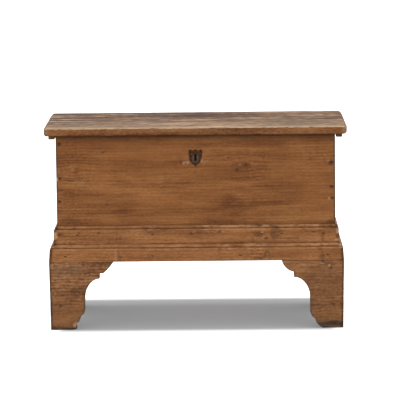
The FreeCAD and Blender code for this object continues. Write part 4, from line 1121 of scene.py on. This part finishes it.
def front_layers(points, low, high):
    """Stains, and painted shade below the lid, above the moulding, at the ends and in the keyhole: each
    fades.
    """
    x, z = points[:, 0], points[:, 2]
    outside = 1 - fade(points[:, 1], front + 3 * MM, front + 8 * MM)
    # painted shade under the lid's overhang, fading out 46 mm below the top
    shade = (1 - fade(case_top - z, 4 * MM, 46 * MM)) ** 1.5
    # a black painted shadow line just below the lid's edge
    under_lid_line = 0.55 * (1 - fade(case_top - z, 6 * MM, 12 * MM)) * outside
    # painted shade just above the moulding
    skirting_shade = 1 - fade(z - waist_top, -3 * MM, 9 * MM)
    # painted shade along both ends, heavier at the right
    ends = fade(np.abs(x), half - 7 * MM, half - 3 * MM) * (0.6 + 0.5 * (x > 0))
    # black painted shade in and round the keyhole
    hole = 1 - fade(np.hypot(x, np.maximum(np.abs(z - keyhole_middle) - 11 * MM, 0)), 6 * MM, 9 * MM)
    pale = spots(x, z, FRONT_PALE, 22) * outside
    dark = np.maximum.reduce([spots(x, z, FRONT_DARK, 21), 0.62 * shade, 0.4 * skirting_shade, ends]) * outside
    dark = np.maximum(dark, RIM_DIRT * rim_of(points) * (1 - outside))
    return {"dark": dark * (1 - pale), "pale": pale, "rub": 0.35 * near_arris(points, low, high, 3 * MM),
            "lively": spots(x, z, FRONT_LIVELY, 23), "soot": np.maximum(hole, under_lid_line)}


def dress_front():
    """The board, cut for its lock and painted."""
    low, high = box["front_board"]
    mesh = mesh_of("front", *board(low, high, FRONT_STEP, FRONT_EASING, ragged=0.4, seed=11))
    sink(mesh, front_depth)
    mesh = carve(mesh, [keyhole_cutter()] + lock_cutters())
    points = read_points(mesh)
    grain = grain_of(points, ALONG_X_UPRIGHT, 1.0, FRONT_KNOTS)
    paint_all(mesh, grain, **front_layers(points, low, high))
    return put("front", mesh, case_wood, ["front_board"], "carcase")


print("front points", len(dress_front().data.vertices))

# %% [markdown]
# ## The other boards
#
# Ends, back, bottom, cleats, battens and glue blocks are plain sawn boards, so one function dresses them
# all. Only the back needs cutting, where the hinges are let into its top edge.

# %% Seats of the hinges
LEAF_SEAT = 2.5 * MM
KNUCKLE_PLAY = 2 * MM
KNUCKLE_SEAT = 9.8 * MM
STRAP_REACH = 30 * MM
STRAP_SEAT = 2.8 * MM


def hinge_cutters():
    """Seats for each hinge's leaf, knuckles and strap in the back board's outer top edge."""
    past = (back + 9 * MM, case_top + 9 * MM)
    cutters = []
    for side in ("left", "right"):
        leaf_low, leaf_high = box["hinge_leaf_" + side]
        strap_low, strap_high = box["hinge_strap_" + side]
        seat = back - LEAF_SEAT
        for left, right, play, near, low in (
                (leaf_low[0], leaf_high[0], PLAY, seat, leaf_low[2] - PLAY),
                (leaf_low[0], leaf_high[0], KNUCKLE_PLAY, seat - PLAY, case_top - KNUCKLE_SEAT),
                (strap_low[0], strap_high[0], PLAY, back - STRAP_REACH, case_top - STRAP_SEAT)):
            cutters.append(box_mesh((left - play, near, low), (right + play, *past)))
    return cutters


print("hinge seats", 1000 * LEAF_SEAT, "mm deep")

# %% A plain board
SAWN_SIZE = (130 * MM, 30 * MM)


def dress_plain(node, finish, order, step, easing, seed, body="carcase", cutters=(), worn=0.4):
    """A plain sawn board: soft arrises, a slight wobble and dirt towards its edges; sizes in millimetres."""
    low, high = box[node]
    mesh = mesh_of(node, *board(low, high, step * MM, easing * MM, ragged=0.4, seed=seed))
    size = np.full(3, SAWN_SIZE[1])
    size[order[0]] = SAWN_SIZE[0]
    sink(mesh, lambda p: 0.1 * MM + 0.35 * MM * layered(p, size, seed))
    if cutters:
        mesh = carve(mesh, cutters)
    points = read_points(mesh)
    arris = near_arris(points, low, high, 9 * MM)
    cloud = layered(points, 60 * MM, seed + 7)
    paint_all(mesh, grain_of(points, order, seed * 0.37), rub=worn * fade(arris, 0.6, 1),
              dark=np.maximum(0.5 * arris * cloud, RIM_DIRT * rim_of(points)))
    return put(node + "_wood", mesh, finish, [node], body)


print("wobble", SAWN_SIZE, "m long and wide")

# %% Other boards
dress_plain("back_board", back_wood, ALONG_X_UPRIGHT, step=7, easing=1.5, seed=31, cutters=hinge_cutters())
for number, side in enumerate(("left", "right")):
    dress_plain("end_board_" + side, case_wood, ALONG_Y_UPRIGHT, step=7, easing=1.0, seed=33 + number)
    dress_plain("lid_batten_" + side, batten_wood, ALONG_Y, step=4, easing=2.5, seed=36 + number,
                body="lid", worn=0.8)
    dress_plain("foot_block_front_" + side, inner_wood, ALONG_Z, step=9, easing=1.5, seed=41 + number)
    dress_plain("foot_block_back_" + side, inner_wood, ALONG_Z, step=9, easing=1.5, seed=43 + number)
    dress_plain("bottom_cleat_" + side, inner_wood, ALONG_Y, step=9, easing=1.0, seed=45 + number)
for number, place in enumerate(("front", "middle", "back")):
    dress_plain("bottom_plank_" + place, inner_wood, ALONG_X, step=8, easing=1.2, seed=51 + number)
for number, place in enumerate(("front", "back")):
    dress_plain("bottom_cleat_" + place, inner_wood, ALONG_X, step=9, easing=1.0, seed=56 + number)

# %% [markdown]
# ## The mouldings' marks
#
# The waist moulding covers the joint between case and base, and the base rail below it carries the weight.
# Both were nailed on, so there is a stain round every nail, and both have bruises from being knocked.

# %% Marks of the mouldings
WAIST_DARK = [(-468, 331, 9, 3.5, 0.85), (-418, 350, 7, 3, 0.75), (-402, 336, 4, 3, 0.7),
              (-335, 335, 6, 4, 0.75), (-233, 338, 6, 2.5, 0.5), (-155, 335, 9, 2.5, 0.5),
              (-17, 331, 5, 5, 0.75), (-105, 308, 6, 2, 0.4), (81, 339, 6, 6, 0.6), (215, 354, 13, 4, 0.95),
              (215, 326, 15, 10, 0.6), (240, 312, 6, 4, 0.85), (282, 313, 24, 3, 0.5),
              (462, 352, 11, 4.5, 0.6), (448, 349, 14, 3, 0.3), (296, 337, 6, 3, 0.7),
              (307, 347, 4, 3, 0.6), (327, 312, 30, 2.5, 0.45), (371, 342, 5, 3, 0.4),
              (405, 333, 6, 3, 0.5), (436, 326, 8, 3, 0.8), (433, 312, 5, 16, 0.45), (470, 345, 8, 4, 0.75),
              (271, 334, 17, 28, 0.62), (-273, 331, 2.2, 32, 0.35), (-262, 318, 2.5, 18, 0.4),
              (205, 352, 60, 3, 0.2)]
WAIST_PALE = [(226, 331, 4.5, 4.5, 0.7), (-484, 325, 7, 13, 0.9), (485, 335, 5, 11, 0.8),
              (484, 304, 7, 5, 0.8), (92, 337, 4, 4, 0.45), (-8, 336, 8, 2, 0.4)]
RAIL_DARK = [(432, 247, 9, 10, 0.6), (430, 266, 3, 20, 0.35), (79, 262, 2.2, 20, 0.6), (79, 277, 4, 4, 0.6),
             (242, 262, 10, 10, 0.65), (212, 244, 15, 3.5, 0.85), (-183, 283, 9, 2.5, 0.75),
             (147, 287, 20, 2.5, 0.5), (351, 287, 14, 2.5, 0.5), (246, 291, 9, 3, 0.5),
             (-268, 262, 2.2, 30, 0.4), (-262, 250, 6, 8, 0.4), (-105, 256, 6, 3, 0.35)]
RAIL_PALE = [(-498, 289, 7, 5, 0.5), (243, 258, 3.5, 3.5, 0.7), (497, 285, 6, 9, 0.8),
             (-276, 262, 3, 26, 0.3)]
print("marks on the mouldings", len(WAIST_DARK) + len(WAIST_PALE) + len(RAIL_DARK) + len(RAIL_PALE))

# %% [markdown]
# ## The mouldings
#
# Each moulding has a face that leans back a little, a quirk, which is the narrow groove a plane leaves, and
# a bead above it. The bead is rubbed bright, which also paints a highlight along it, and the quirk and the
# mitred corners are darkened with painted shade. Carrying one section round the case gives all three pieces
# of a moulding at once, with mitres that meet.

# %% Section of a moulding
SECTION_STEP = 3.2 * MM


def moulding_section(low, high, thickness, bead_height, setback, flat, batter, quirk_deep):
    """The walk round a moulding: battered face with an eased top, a quirk, and a bead set back above it."""
    shoulder = high - bead_height - 2.5 * MM
    bead_out = thickness - setback
    quirk = bead_out - quirk_deep
    return rounded([
        (0, low, 0.5 * MM),
        (thickness, low, 1.5 * MM),
        (thickness - batter, shoulder, 3 * MM),
        (quirk, shoulder, 0.6 * MM),
        (quirk, high - bead_height, 0.5 * MM),
        (bead_out, high - bead_height, 2 * MM),
        (bead_out, high, bead_out - flat),
        (0, high, 0.5 * MM),
    ], SECTION_STEP)


WAIST_WORN = 2.6 * MM
waist_section, waist_edge = moulding_section(
    rail_top, waist_top - WAIST_WORN, waist_thick, bead_height=9.5 * MM, setback=5 * MM, flat=1 * MM,
    batter=0.5 * MM, quirk_deep=0.9 * MM)
rail_section, rail_edge = moulding_section(
    soffit, rail_top, rail_thick, bead_height=12 * MM, setback=7 * MM, flat=13 * MM,
    batter=3 * MM, quirk_deep=0.3 * MM)
print("sections", len(waist_section), "and", len(rail_section), "points round")

# %% Mouldings
MOULDING_EASING = 3 * MM
MOULDING_STEP = 4.5 * MM


def moulding_layers(points, edges, marks, seed, quirk_shade, rubbed):
    """Rub and painted highlight on bulges, painted shade in hollows and at the mitres, stains at marks."""
    ahead, aside = front - points[:, 1], np.abs(points[:, 0]) - half
    out = np.maximum(ahead, aside)
    face = fade(out, 0, 3 * MM)
    corner = fade(np.minimum(ahead, aside), out - 14 * MM, out - 6 * MM)
    wear = noise(points, 50 * MM, seed + 3)
    dark, pale = (spots(points[:, 0], points[:, 2], ovals, seed) for ovals in marks)
    # the quirk and the mitred corner get painted shade; the marks are stains
    soil_and_shade = np.maximum.reduce([quirk_shade * fade(-edges, 0.1, 0.9), dark, 0.95 * corner * face])
    # the rub on bulging arcs is wear and also a painted highlight along the bead
    return {"rub": rubbed * fade(edges, 0.2, 1) * fade(wear, 0.0, 0.8) * face, "lively": fade(wear, 0.5, 0.8),
            "dark": soil_and_shade * (1 - pale), "pale": pale}


def dress_moulding(name, section, edge, size, depth, marks, seed, quirk_shade, rubbed):
    """The front and the two side pieces of one moulding, mitred and worn alike; only the front has marks."""
    carried = [("_front", front_carry(section, half, front, MOULDING_EASING, MOULDING_STEP))]
    for side, label in ((-1, "_left"), (1, "_right")):
        carried.append((label, side_carry(section, half, front, back, side, MOULDING_EASING, MOULDING_STEP)))
    for number, (label, rings) in enumerate(carried):
        mesh = mesh_of(name + label, *loft(rings), edge=np.tile(edge, len(rings)))
        sink(mesh, lambda p: 0.1 * MM + depth * layered(p, size, 55 + seed))
        points = read_points(mesh)
        order, shown = (ALONG_Y_UPRIGHT, ((), ())) if number else (ALONG_X_UPRIGHT, marks)
        paint_all(mesh, grain_of(points, order, seed + number * 0.7),
                  **moulding_layers(points, painted(mesh, "edge"), shown, seed, quirk_shade, rubbed))
        put(name + label + "_wood", mesh, moulding_wood, [name + label], "carcase")


# the last two numbers set the painted shade in the quirk and the rub, which is also a painted highlight
dress_moulding("waist_moulding", waist_section, waist_edge, size=(70 * MM, 70 * MM, 14 * MM),
               depth=0.5 * MM, marks=(WAIST_DARK, WAIST_PALE), seed=6, quirk_shade=0.38, rubbed=0.62)
dress_moulding("base_rail", rail_section, rail_edge, size=(90 * MM, 90 * MM, 16 * MM),
               depth=0.6 * MM, marks=(RAIL_DARK, RAIL_PALE), seed=7, quirk_shade=0.12, rubbed=0.42)

# %% [markdown]
# ## The scroll of a foot
#
# A bracket foot is a board sawn to a scroll: toe, ankle, hollow, ledge and lobe. The scroll says how far the
# board runs from the corner at each height. The two front toes have worn differently, so each has its own.

# %% Scroll
FOOT_HIGH = round(soffit / MM, 3)
HOLLOW_LOW, HOLLOW_HIGH, LEDGE_HIGH = 104, 178, 197
TOE_RISE = 13
REAR_TOE, REAR_REACH = 60, 130
REAR_LOW, REAR_HIGH = 40, 206
SCROLL_STEP = 2.4 * MM
REAR_STEP = 5 * MM


def smoothed(path, step, passes):
    """Walks a path in even steps and blurs it: each point becomes the mean of itself and its neighbours."""
    path = np.asarray(path, float) * MM
    gone = np.concatenate([[0], np.cumsum(np.hypot(*np.diff(path, axis=0).T))])
    even = np.linspace(0, gone[-1], int(gone[-1] / step))
    walk = np.stack([np.interp(even, gone, side) for side in path.T], axis=1)
    for _ in range(passes):
        walk[1:-1] = (walk[:-2] + 2 * walk[1:-1] + walk[2:]) / 4
    return walk


def scroll(toe, ankle, ledge, lobe, reach, bulge):
    """A bracket's inner outline from the floor up, as rows of (run from the corner, height).

    The hollow is a quarter ellipse, ankle + width (1 - cos t). The lobe is part quarter ellipse, lobe + width
    sin t, and part its straight chord, by bulge.
    """
    turn = np.linspace(0, math.pi / 2, 12)
    hollow = np.stack([ankle + (ledge - ankle) * (1 - np.cos(turn)),
                       HOLLOW_LOW + (HOLLOW_HIGH - HOLLOW_LOW) * np.sin(turn)], axis=1)
    rise = FOOT_HIGH - LEDGE_HIGH
    ellipse = np.stack([lobe + (reach - lobe) * np.sin(turn), FOOT_HIGH - rise * np.cos(turn)], axis=1)
    chord = np.array([lobe, LEDGE_HIGH]) + np.outer(turn / turn[-1], [reach - lobe, rise])
    round_lobe = bulge * ellipse + (1 - bulge) * chord
    foot = toe + [(ankle - 1, toe[-1][1] + TOE_RISE)]
    return smoothed(np.concatenate([foot, hollow, [(ledge, LEDGE_HIGH)], round_lobe]), SCROLL_STEP, 1)


def rear_scroll():
    """The plainer brackets at the back: a straight toe, a quarter ellipse for the hollow, and a lip."""
    turn = np.linspace(0, math.pi / 2, 16)
    hollow = np.stack([REAR_TOE + (REAR_REACH - REAR_TOE) * (1 - np.cos(turn)),
                       REAR_LOW + (REAR_HIGH - REAR_LOW) * np.sin(turn)], axis=1)
    return smoothed(np.concatenate([[(REAR_TOE, 0)], hollow, [(REAR_REACH, FOOT_HIGH)]]), REAR_STEP, 2)


LEFT_TOE = [(81, 0), (90, 4), (92, 9), (87, 14), (91, 22), (100, 31), (104, 42), (106, 49), (117, 57)]
RIGHT_TOE = [(74, 0), (81, 6), (93, 18), (98, 33), (109, 41)]
left_scroll = scroll(LEFT_TOE, ankle=121, ledge=174, lobe=187, reach=222, bulge=0.2)
right_scroll = scroll(RIGHT_TOE, ankle=116, ledge=173, lobe=176, reach=215, bulge=0.7)
print("scrolls", len(left_scroll), len(right_scroll), len(rear_scroll()), "points")

# %% [markdown]
# ## A foot from level slices
#
# A scroll could be cut with a boolean, but its edge would then have no points to wear. So each foot is a
# stack of level slices. A slice is the board seen from above, walked round from the scroll's edge along the
# face to the mitre and back along the inside.

# %% Slices of a foot
FOOT_EASING = 2.5 * MM
FACE_POINTS = 62
EDGE_EASING = 1.8 * MM
END_NEAR = np.array([0, 0.35, 0.9, 1.8]) * MM
END_CLEAR = 2.5 * MM


def slices(path, thick, mitred):
    """A ring for each height, as the run u from the corner and the depth v into the board.

    A quarter turn of radius edge eases the scroll, and one of radius ease the corner; a mitre has half of it.
    """
    run, height = path.T
    ease, edge = FOOT_EASING, EDGE_EASING
    quarter = np.linspace(0, math.pi / 2, 5)[None, :]
    column = run[:, None]
    blank = np.zeros((len(run), 1))
    face = np.linspace(0, 1, FACE_POINTS + 2)[None, 1:-1]
    corner = quarter / 2 if mitred else quarter
    inner_start = thick if mitred else 0.0
    inward = np.linspace(0, 1, 8)[None, :]
    edge_back = np.linspace(thick, edge, 5)[None, 1:-1]
    u = np.concatenate([
        column - edge + edge * np.cos(quarter),
        (column - edge) * (1 - face) + ease * face,
        ease - ease * np.sin(corner) + blank,
        inner_start + (column - inner_start) * inward,
        column + 0 * edge_back,
    ], axis=1)
    v = np.concatenate([
        edge - edge * np.sin(quarter) + blank,
        0 * face + blank,
        ease - ease * np.cos(corner) + blank,
        thick + 0 * inward + blank,
        edge_back + blank,
    ], axis=1)
    return u, v, height[:, None] + 0 * u


def ease_ends(path):
    """Extra slices close to the sole and the seam, where the ring draws in a little."""
    low, high = path[0], path[-1]
    rest = path[(path[:, 1] > low[1] + END_CLEAR) & (path[:, 1] < high[1] - END_CLEAR)]
    start = np.stack([np.full(4, low[0]), low[1] + END_NEAR], axis=1)
    finish = np.stack([np.full(4, high[0]), high[1] - END_NEAR[::-1]], axis=1)
    return np.concatenate([start, rest, finish])


print("slices of the left foot", len(ease_ends(left_scroll)))

# %% Slices put in place
def foot_mesh(node, path, thick, place, mitred):
    """The slices, drawn in at both ends and put in place by place(u, v, z).

    Each point is told how near it lies to the scroll's arris, its rim, the outer corner and the level ends.
    """
    u, v, z = slices(path, thick, mitred)
    run = path[:, :1]
    end_gap = np.minimum(z - z.min(), z.max() - z)
    near = {"edge": np.exp(-np.hypot(run - u, v) / (3 * MM)),
            "rim": np.exp(-np.maximum(run - u, 0) / (4 * MM)),
            "corner": 1 - fade(np.hypot(u, v), 4.5 * MM, 11 * MM),
            "ends": np.exp(-end_gap / (3 * MM)) * fade(thick - v, 0, thick)}
    short = np.maximum(EDGE_EASING - end_gap, 0)
    drawn = 0.8 * (EDGE_EASING - np.sqrt(np.maximum(EDGE_EASING ** 2 - short ** 2, 0)))
    v = np.where(v < thick / 2, v + drawn, v)
    u = np.where(u > run * 0.97, u - drawn, u)
    return mesh_of(node, *loft(np.stack(place(u, v, z), axis=-1)), depth=v, **near)


print("ends eased by", EDGE_EASING)

# %% [markdown]
# ## The feet
#
# Feet are kicked, mopped and damp. Their soles are grey and ragged and dirt climbs from the floor, while
# the rim of the scroll and the outer corner are darkened with painted shade, the rim greyed as well. They
# also lean in a little, by a taper.

# %% Marks of the feet
LEFT_FOOT_DARK = [(-495, 127, 5, 4, 0.6), (-444, 60, 4, 3, 0.4), (-440, 205, 40, 12, 0.1),
                  (-471, 84, 4, 3, 0.3)]
RIGHT_FOOT_DARK = [(497, 85, 5, 4, 0.7), (461, 209, 7, 6, 0.7), (471, 84, 5, 4, 0.4), (434, 231, 5, 6, 0.7),
                   (452, 224, 26, 6, 0.35), (450, 120, 90, 90, 0.13), (460, 30, 60, 26, 0.18)]
FOOT_PALE = [(-450, 210, 60, 26, 0.12), (-421, 18, 7, 6, 0.9), (-414, 26, 4, 4, 0.6),
             (456, 219, 3.5, 3.5, 0.7), (430, 226, 8, 3, 0.5)]
print("marks on the feet", len(LEFT_FOOT_DARK) + len(RIGHT_FOOT_DARK) + len(FOOT_PALE))

# %% One foot
PLAIN_FOOT = {"marks": ((), ()), "sole_dirt": 6 * MM, "lively": (0.3, 0.2)}


def foot_layers(mesh, points, thick, seed, marks, sole_dirt, lively):
    """Painted shade at corner and rim, soil at floor, grey at sole and rim, figure livelier one way up."""
    corner, ends, depth, rim = (painted(mesh, name) for name in ("corner", "ends", "depth", "rim"))
    z = points[:, 2]
    wear = noise(points, 30 * MM, seed + 3)
    low = 1 - fade(z + 16 * MM * (wear - 0.5), 8 * MM, 50 * MM + 2 * sole_dirt)
    ragged = 14 * MM * (layered(points, 26 * MM, seed + 9) - 0.5)
    sole = 1 - fade(z + ragged, sole_dirt, sole_dirt + 6 * MM)
    dark, pale = (spots(points[:, 0], z, ovals, seed) * (depth < thick / 2) for ovals in marks)
    # the dark at the corner and the rim is painted shade; the dark near the floor and the marks are soil and
    # stains
    soil_and_shade = np.maximum.reduce([0.9 * corner, 0.62 * rim, 0.7 * low * wear, dark,
                              0.55 * (1 - fade(z, 2 * MM, 8 * MM))])
    return {"rub": 0.5 * ends * fade(wear, 0.4, 0.8), "dark": soil_and_shade * (1 - pale), "pale": pale,
            "lively": lively[1] + (lively[0] - lively[1]) * fade(z, 0.05, 0.17),
            # the grey on the rim is painted shade too
            "weather": np.maximum(sole, 0.6 * rim)}


def dress_foot(node, path, thick, place, mitred, order, seed, looks=PLAIN_FOOT):
    """One foot board: its slices put in place, worn at its arrises, and painted."""
    mesh = foot_mesh(node, ease_ends(path), thick, place, mitred)
    arris = np.maximum(painted(mesh, "edge"), painted(mesh, "ends"))
    size = np.full(3, 22 * MM)
    size[order[0]] = 90 * MM
    sink(mesh, lambda p: 0.1 * MM + 0.7 * MM * layered(p, size, seed)
         + 1.2 * MM * fade(layered(p, 16 * MM, seed + 5), 0.6, 0.9) * arris)
    points = read_points(mesh)
    paint_all(mesh, grain_of(points, order, seed * 0.53), **foot_layers(mesh, points, thick, seed, **looks))
    return put(node + "_wood", mesh, foot_wood, [node], "carcase")


print("plain foot", PLAIN_FOOT)

# %% All feet
TAPER = 3.5 * MM


def narrowing(z):
    """How far a foot has drawn in at a height, from nothing at the seam to TAPER at the floor."""
    return TAPER * (1 - z / soffit)


def dress_side_of_case(side, label, path, looks):
    """The four foot boards on one side; place turns run u, depth v and height z into x, y and z."""
    dress_foot("front_foot_" + label, path, rail_thick,
               lambda u, v, z: (side * (half + rail_thick - narrowing(z) - u), front - rail_thick + v, z),
               mitred=True, order=ALONG_X_UPRIGHT, seed=71 + side, looks=looks)
    dress_foot("side_foot_front_" + label, path, rail_thick,
               lambda u, v, z: (side * (half + rail_thick - narrowing(z) - v), front - rail_thick + u, z),
               mitred=True, order=ALONG_Y_UPRIGHT, seed=75 + side)
    dress_foot("side_foot_back_" + label, path, rail_thick,
               lambda u, v, z: (side * (half + rail_thick - narrowing(z) - v), back - u, z),
               mitred=False, order=ALONG_Y_UPRIGHT, seed=79 + side)
    dress_foot("rear_foot_" + label, rear_scroll(), rear_thick,
               lambda u, v, z: (side * (half - u), back - v, z),
               mitred=False, order=ALONG_X_UPRIGHT, seed=83 + side)


dress_side_of_case(-1, "left", left_scroll,
                   {"marks": (LEFT_FOOT_DARK, FOOT_PALE), "sole_dirt": 6 * MM, "lively": (0.9, 0.5)})
dress_side_of_case(1, "right", right_scroll,
                   {"marks": (RIGHT_FOOT_DARK, FOOT_PALE), "sole_dirt": 22 * MM, "lively": (0.0, 1.0)})

# %% [markdown]
# ## Old iron
#
# Forged iron that has been handled for a century is nearly black, with brown rust in its pits and a duller
# sheen than steel. Two sizes of noise make the pits. Round the keyhole fingers and keys have rubbed the
# escutcheon bare, and the keyhole's walls are painted black as shade.

# %% Iron
def bare_round(r, colour, place, bloom, bright, middle, reach):
    """Blends in a bright tone inside an ellipsoid, whose rim the rust makes ragged."""
    away = r.add("VectorMath", {0: place, 1: middle}, operation="SUBTRACT")
    away = r.add("VectorMath", {0: away, 1: tuple(1 / size for size in reach)}, operation="MULTIPLY")
    far = r.add("VectorMath", {0: away}, "Value", operation="LENGTH")
    return r.mix(r.spread(r.sum(far, r.times(bloom, 0.8), -0.4), 0.6, 1.0, 1.0, 0.0), colour, bright)


def black_hole(r, colour, place, middle, reach, radius):
    """Painted black shade by the distance from an upright line that runs reach either side of the middle."""
    away = r.add("VectorMath", {0: place, 1: middle}, operation="SUBTRACT")
    side = r.add("SeparateXYZ", {"Vector": away}, "X")
    up = r.add("Math", {0: r.add("SeparateXYZ", {"Vector": away}, "Z")}, operation="ABSOLUTE")
    over = r.add("Math", {0: r.sum(up, -reach), 1: 0.0}, operation="MAXIMUM")
    far = r.add("Math", {0: r.sum(r.times(side, side), r.times(over, over))}, operation="SQRT")
    return r.mix(r.spread(far, radius, radius + 1.5 * MM, 1.0, 0.0), colour, SHADE_BLACK)


def iron(name, dark, brown, pit_scale=180.0, roughness=0.55, metal=0.35, bare=None, hole=None, shine=0.25):
    """Dark iron, rust blooms in object coordinates, bare round one place, black painted shade in a hole."""
    r = Recipe(name)
    place = r.add("TexCoord", {}, "Object")
    bloom = r.noise(place, (pit_scale,) * 3, 3.0)
    pits = r.noise(place, (pit_scale * 5,) * 3, 2.0)
    colour = r.mix(r.spread(bloom, 0.42, 0.64), dark, brown)
    if bare:
        colour = bare_round(r, colour, place, bloom, *bare)
    if hole:
        colour = black_hole(r, colour, place, *hole)
    r.shader.inputs["Metallic"].default_value = metal
    rough = r.spread(bloom, 0.3, 0.7, roughness - 0.1, roughness + 0.2)
    return r.finish(colour, rough, r.sum(r.times(pits, 0.6), bloom), 0.6 * MM, shine)


print("iron ready to mix with", SHADE_BLACK)

# %% Irons
BARE_REACH = (13 * MM, 60 * MM, 18 * MM)
escutcheon_low, escutcheon_high = box["escutcheon"].tolist()
shield_middle = (0.0, escutcheon_low[1], (escutcheon_low[2] + escutcheon_high[2]) / 2)
hole_middle = (0.0, escutcheon_low[1], float(keyhole_middle))
escutcheon_iron = iron("old_escutcheon_iron", tone(46, 28, 13), tone(92, 57, 29), pit_scale=140.0,
                       metal=0.05, shine=0.12, bare=(tone(92, 77, 64), shield_middle, BARE_REACH),
                       # the keyhole's walls get black painted shade
                       hole=(hole_middle, KEY_FALL / 2, 3.9 * MM))
pin_iron = iron("old_pin_iron", tone(20, 16, 13), tone(34, 25, 18), pit_scale=300.0, roughness=0.8,
                metal=0.0)
hinge_iron = iron("old_hinge_iron", tone(46, 38, 32), tone(88, 58, 38), pit_scale=160.0)
lock_iron = iron("old_lock_iron", tone(60, 54, 48), tone(84, 58, 40), pit_scale=120.0, roughness=0.45,
                 metal=0.6)
nail_iron = iron("old_nail_iron", tone(44, 32, 24), tone(70, 46, 30), pit_scale=500.0, roughness=0.7,
                 metal=0.1)
print("keyhole seen at", hole_middle)

# %% [markdown]
# ## Iron on the solids
#
# The solids of the lock, the hinges and the nails already have their true shapes, so they are only given a
# finish.

# %% Iron on the solids
IRONS = [
    (escutcheon_iron, ["escutcheon", "escutcheon_pins"]),
    (hinge_iron, ["hinge_strap_left", "hinge_strap_right", "hinge_leaf_left", "hinge_leaf_right",
                  "hinge_pins", "hinge_strap_nails", "hinge_leaf_nails"]),
    (lock_iron, ["lock_plate", "lock_case", "lock_bolt", "lock_spring", "lock_screws",
                 "lock_catch", "lock_catch_screws"]),
    (pin_iron, ["lock_key_pin"]),
    (nail_iron, ["corner_nails", "waist_moulding_nails", "base_rail_nails", "foot_nails",
                 "bottom_nails", "cleat_nails", "lid_batten_nails"]),
]
for finish, nodes in IRONS:
    for node in nodes:
        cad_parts[node].data.materials.clear()
        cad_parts[node].data.materials.append(finish)
print("iron pieces", sum(len(nodes) for _, nodes in IRONS))

# %% [markdown]
# ## Finish
#
# The dressed chest must fill the same space as its solids.
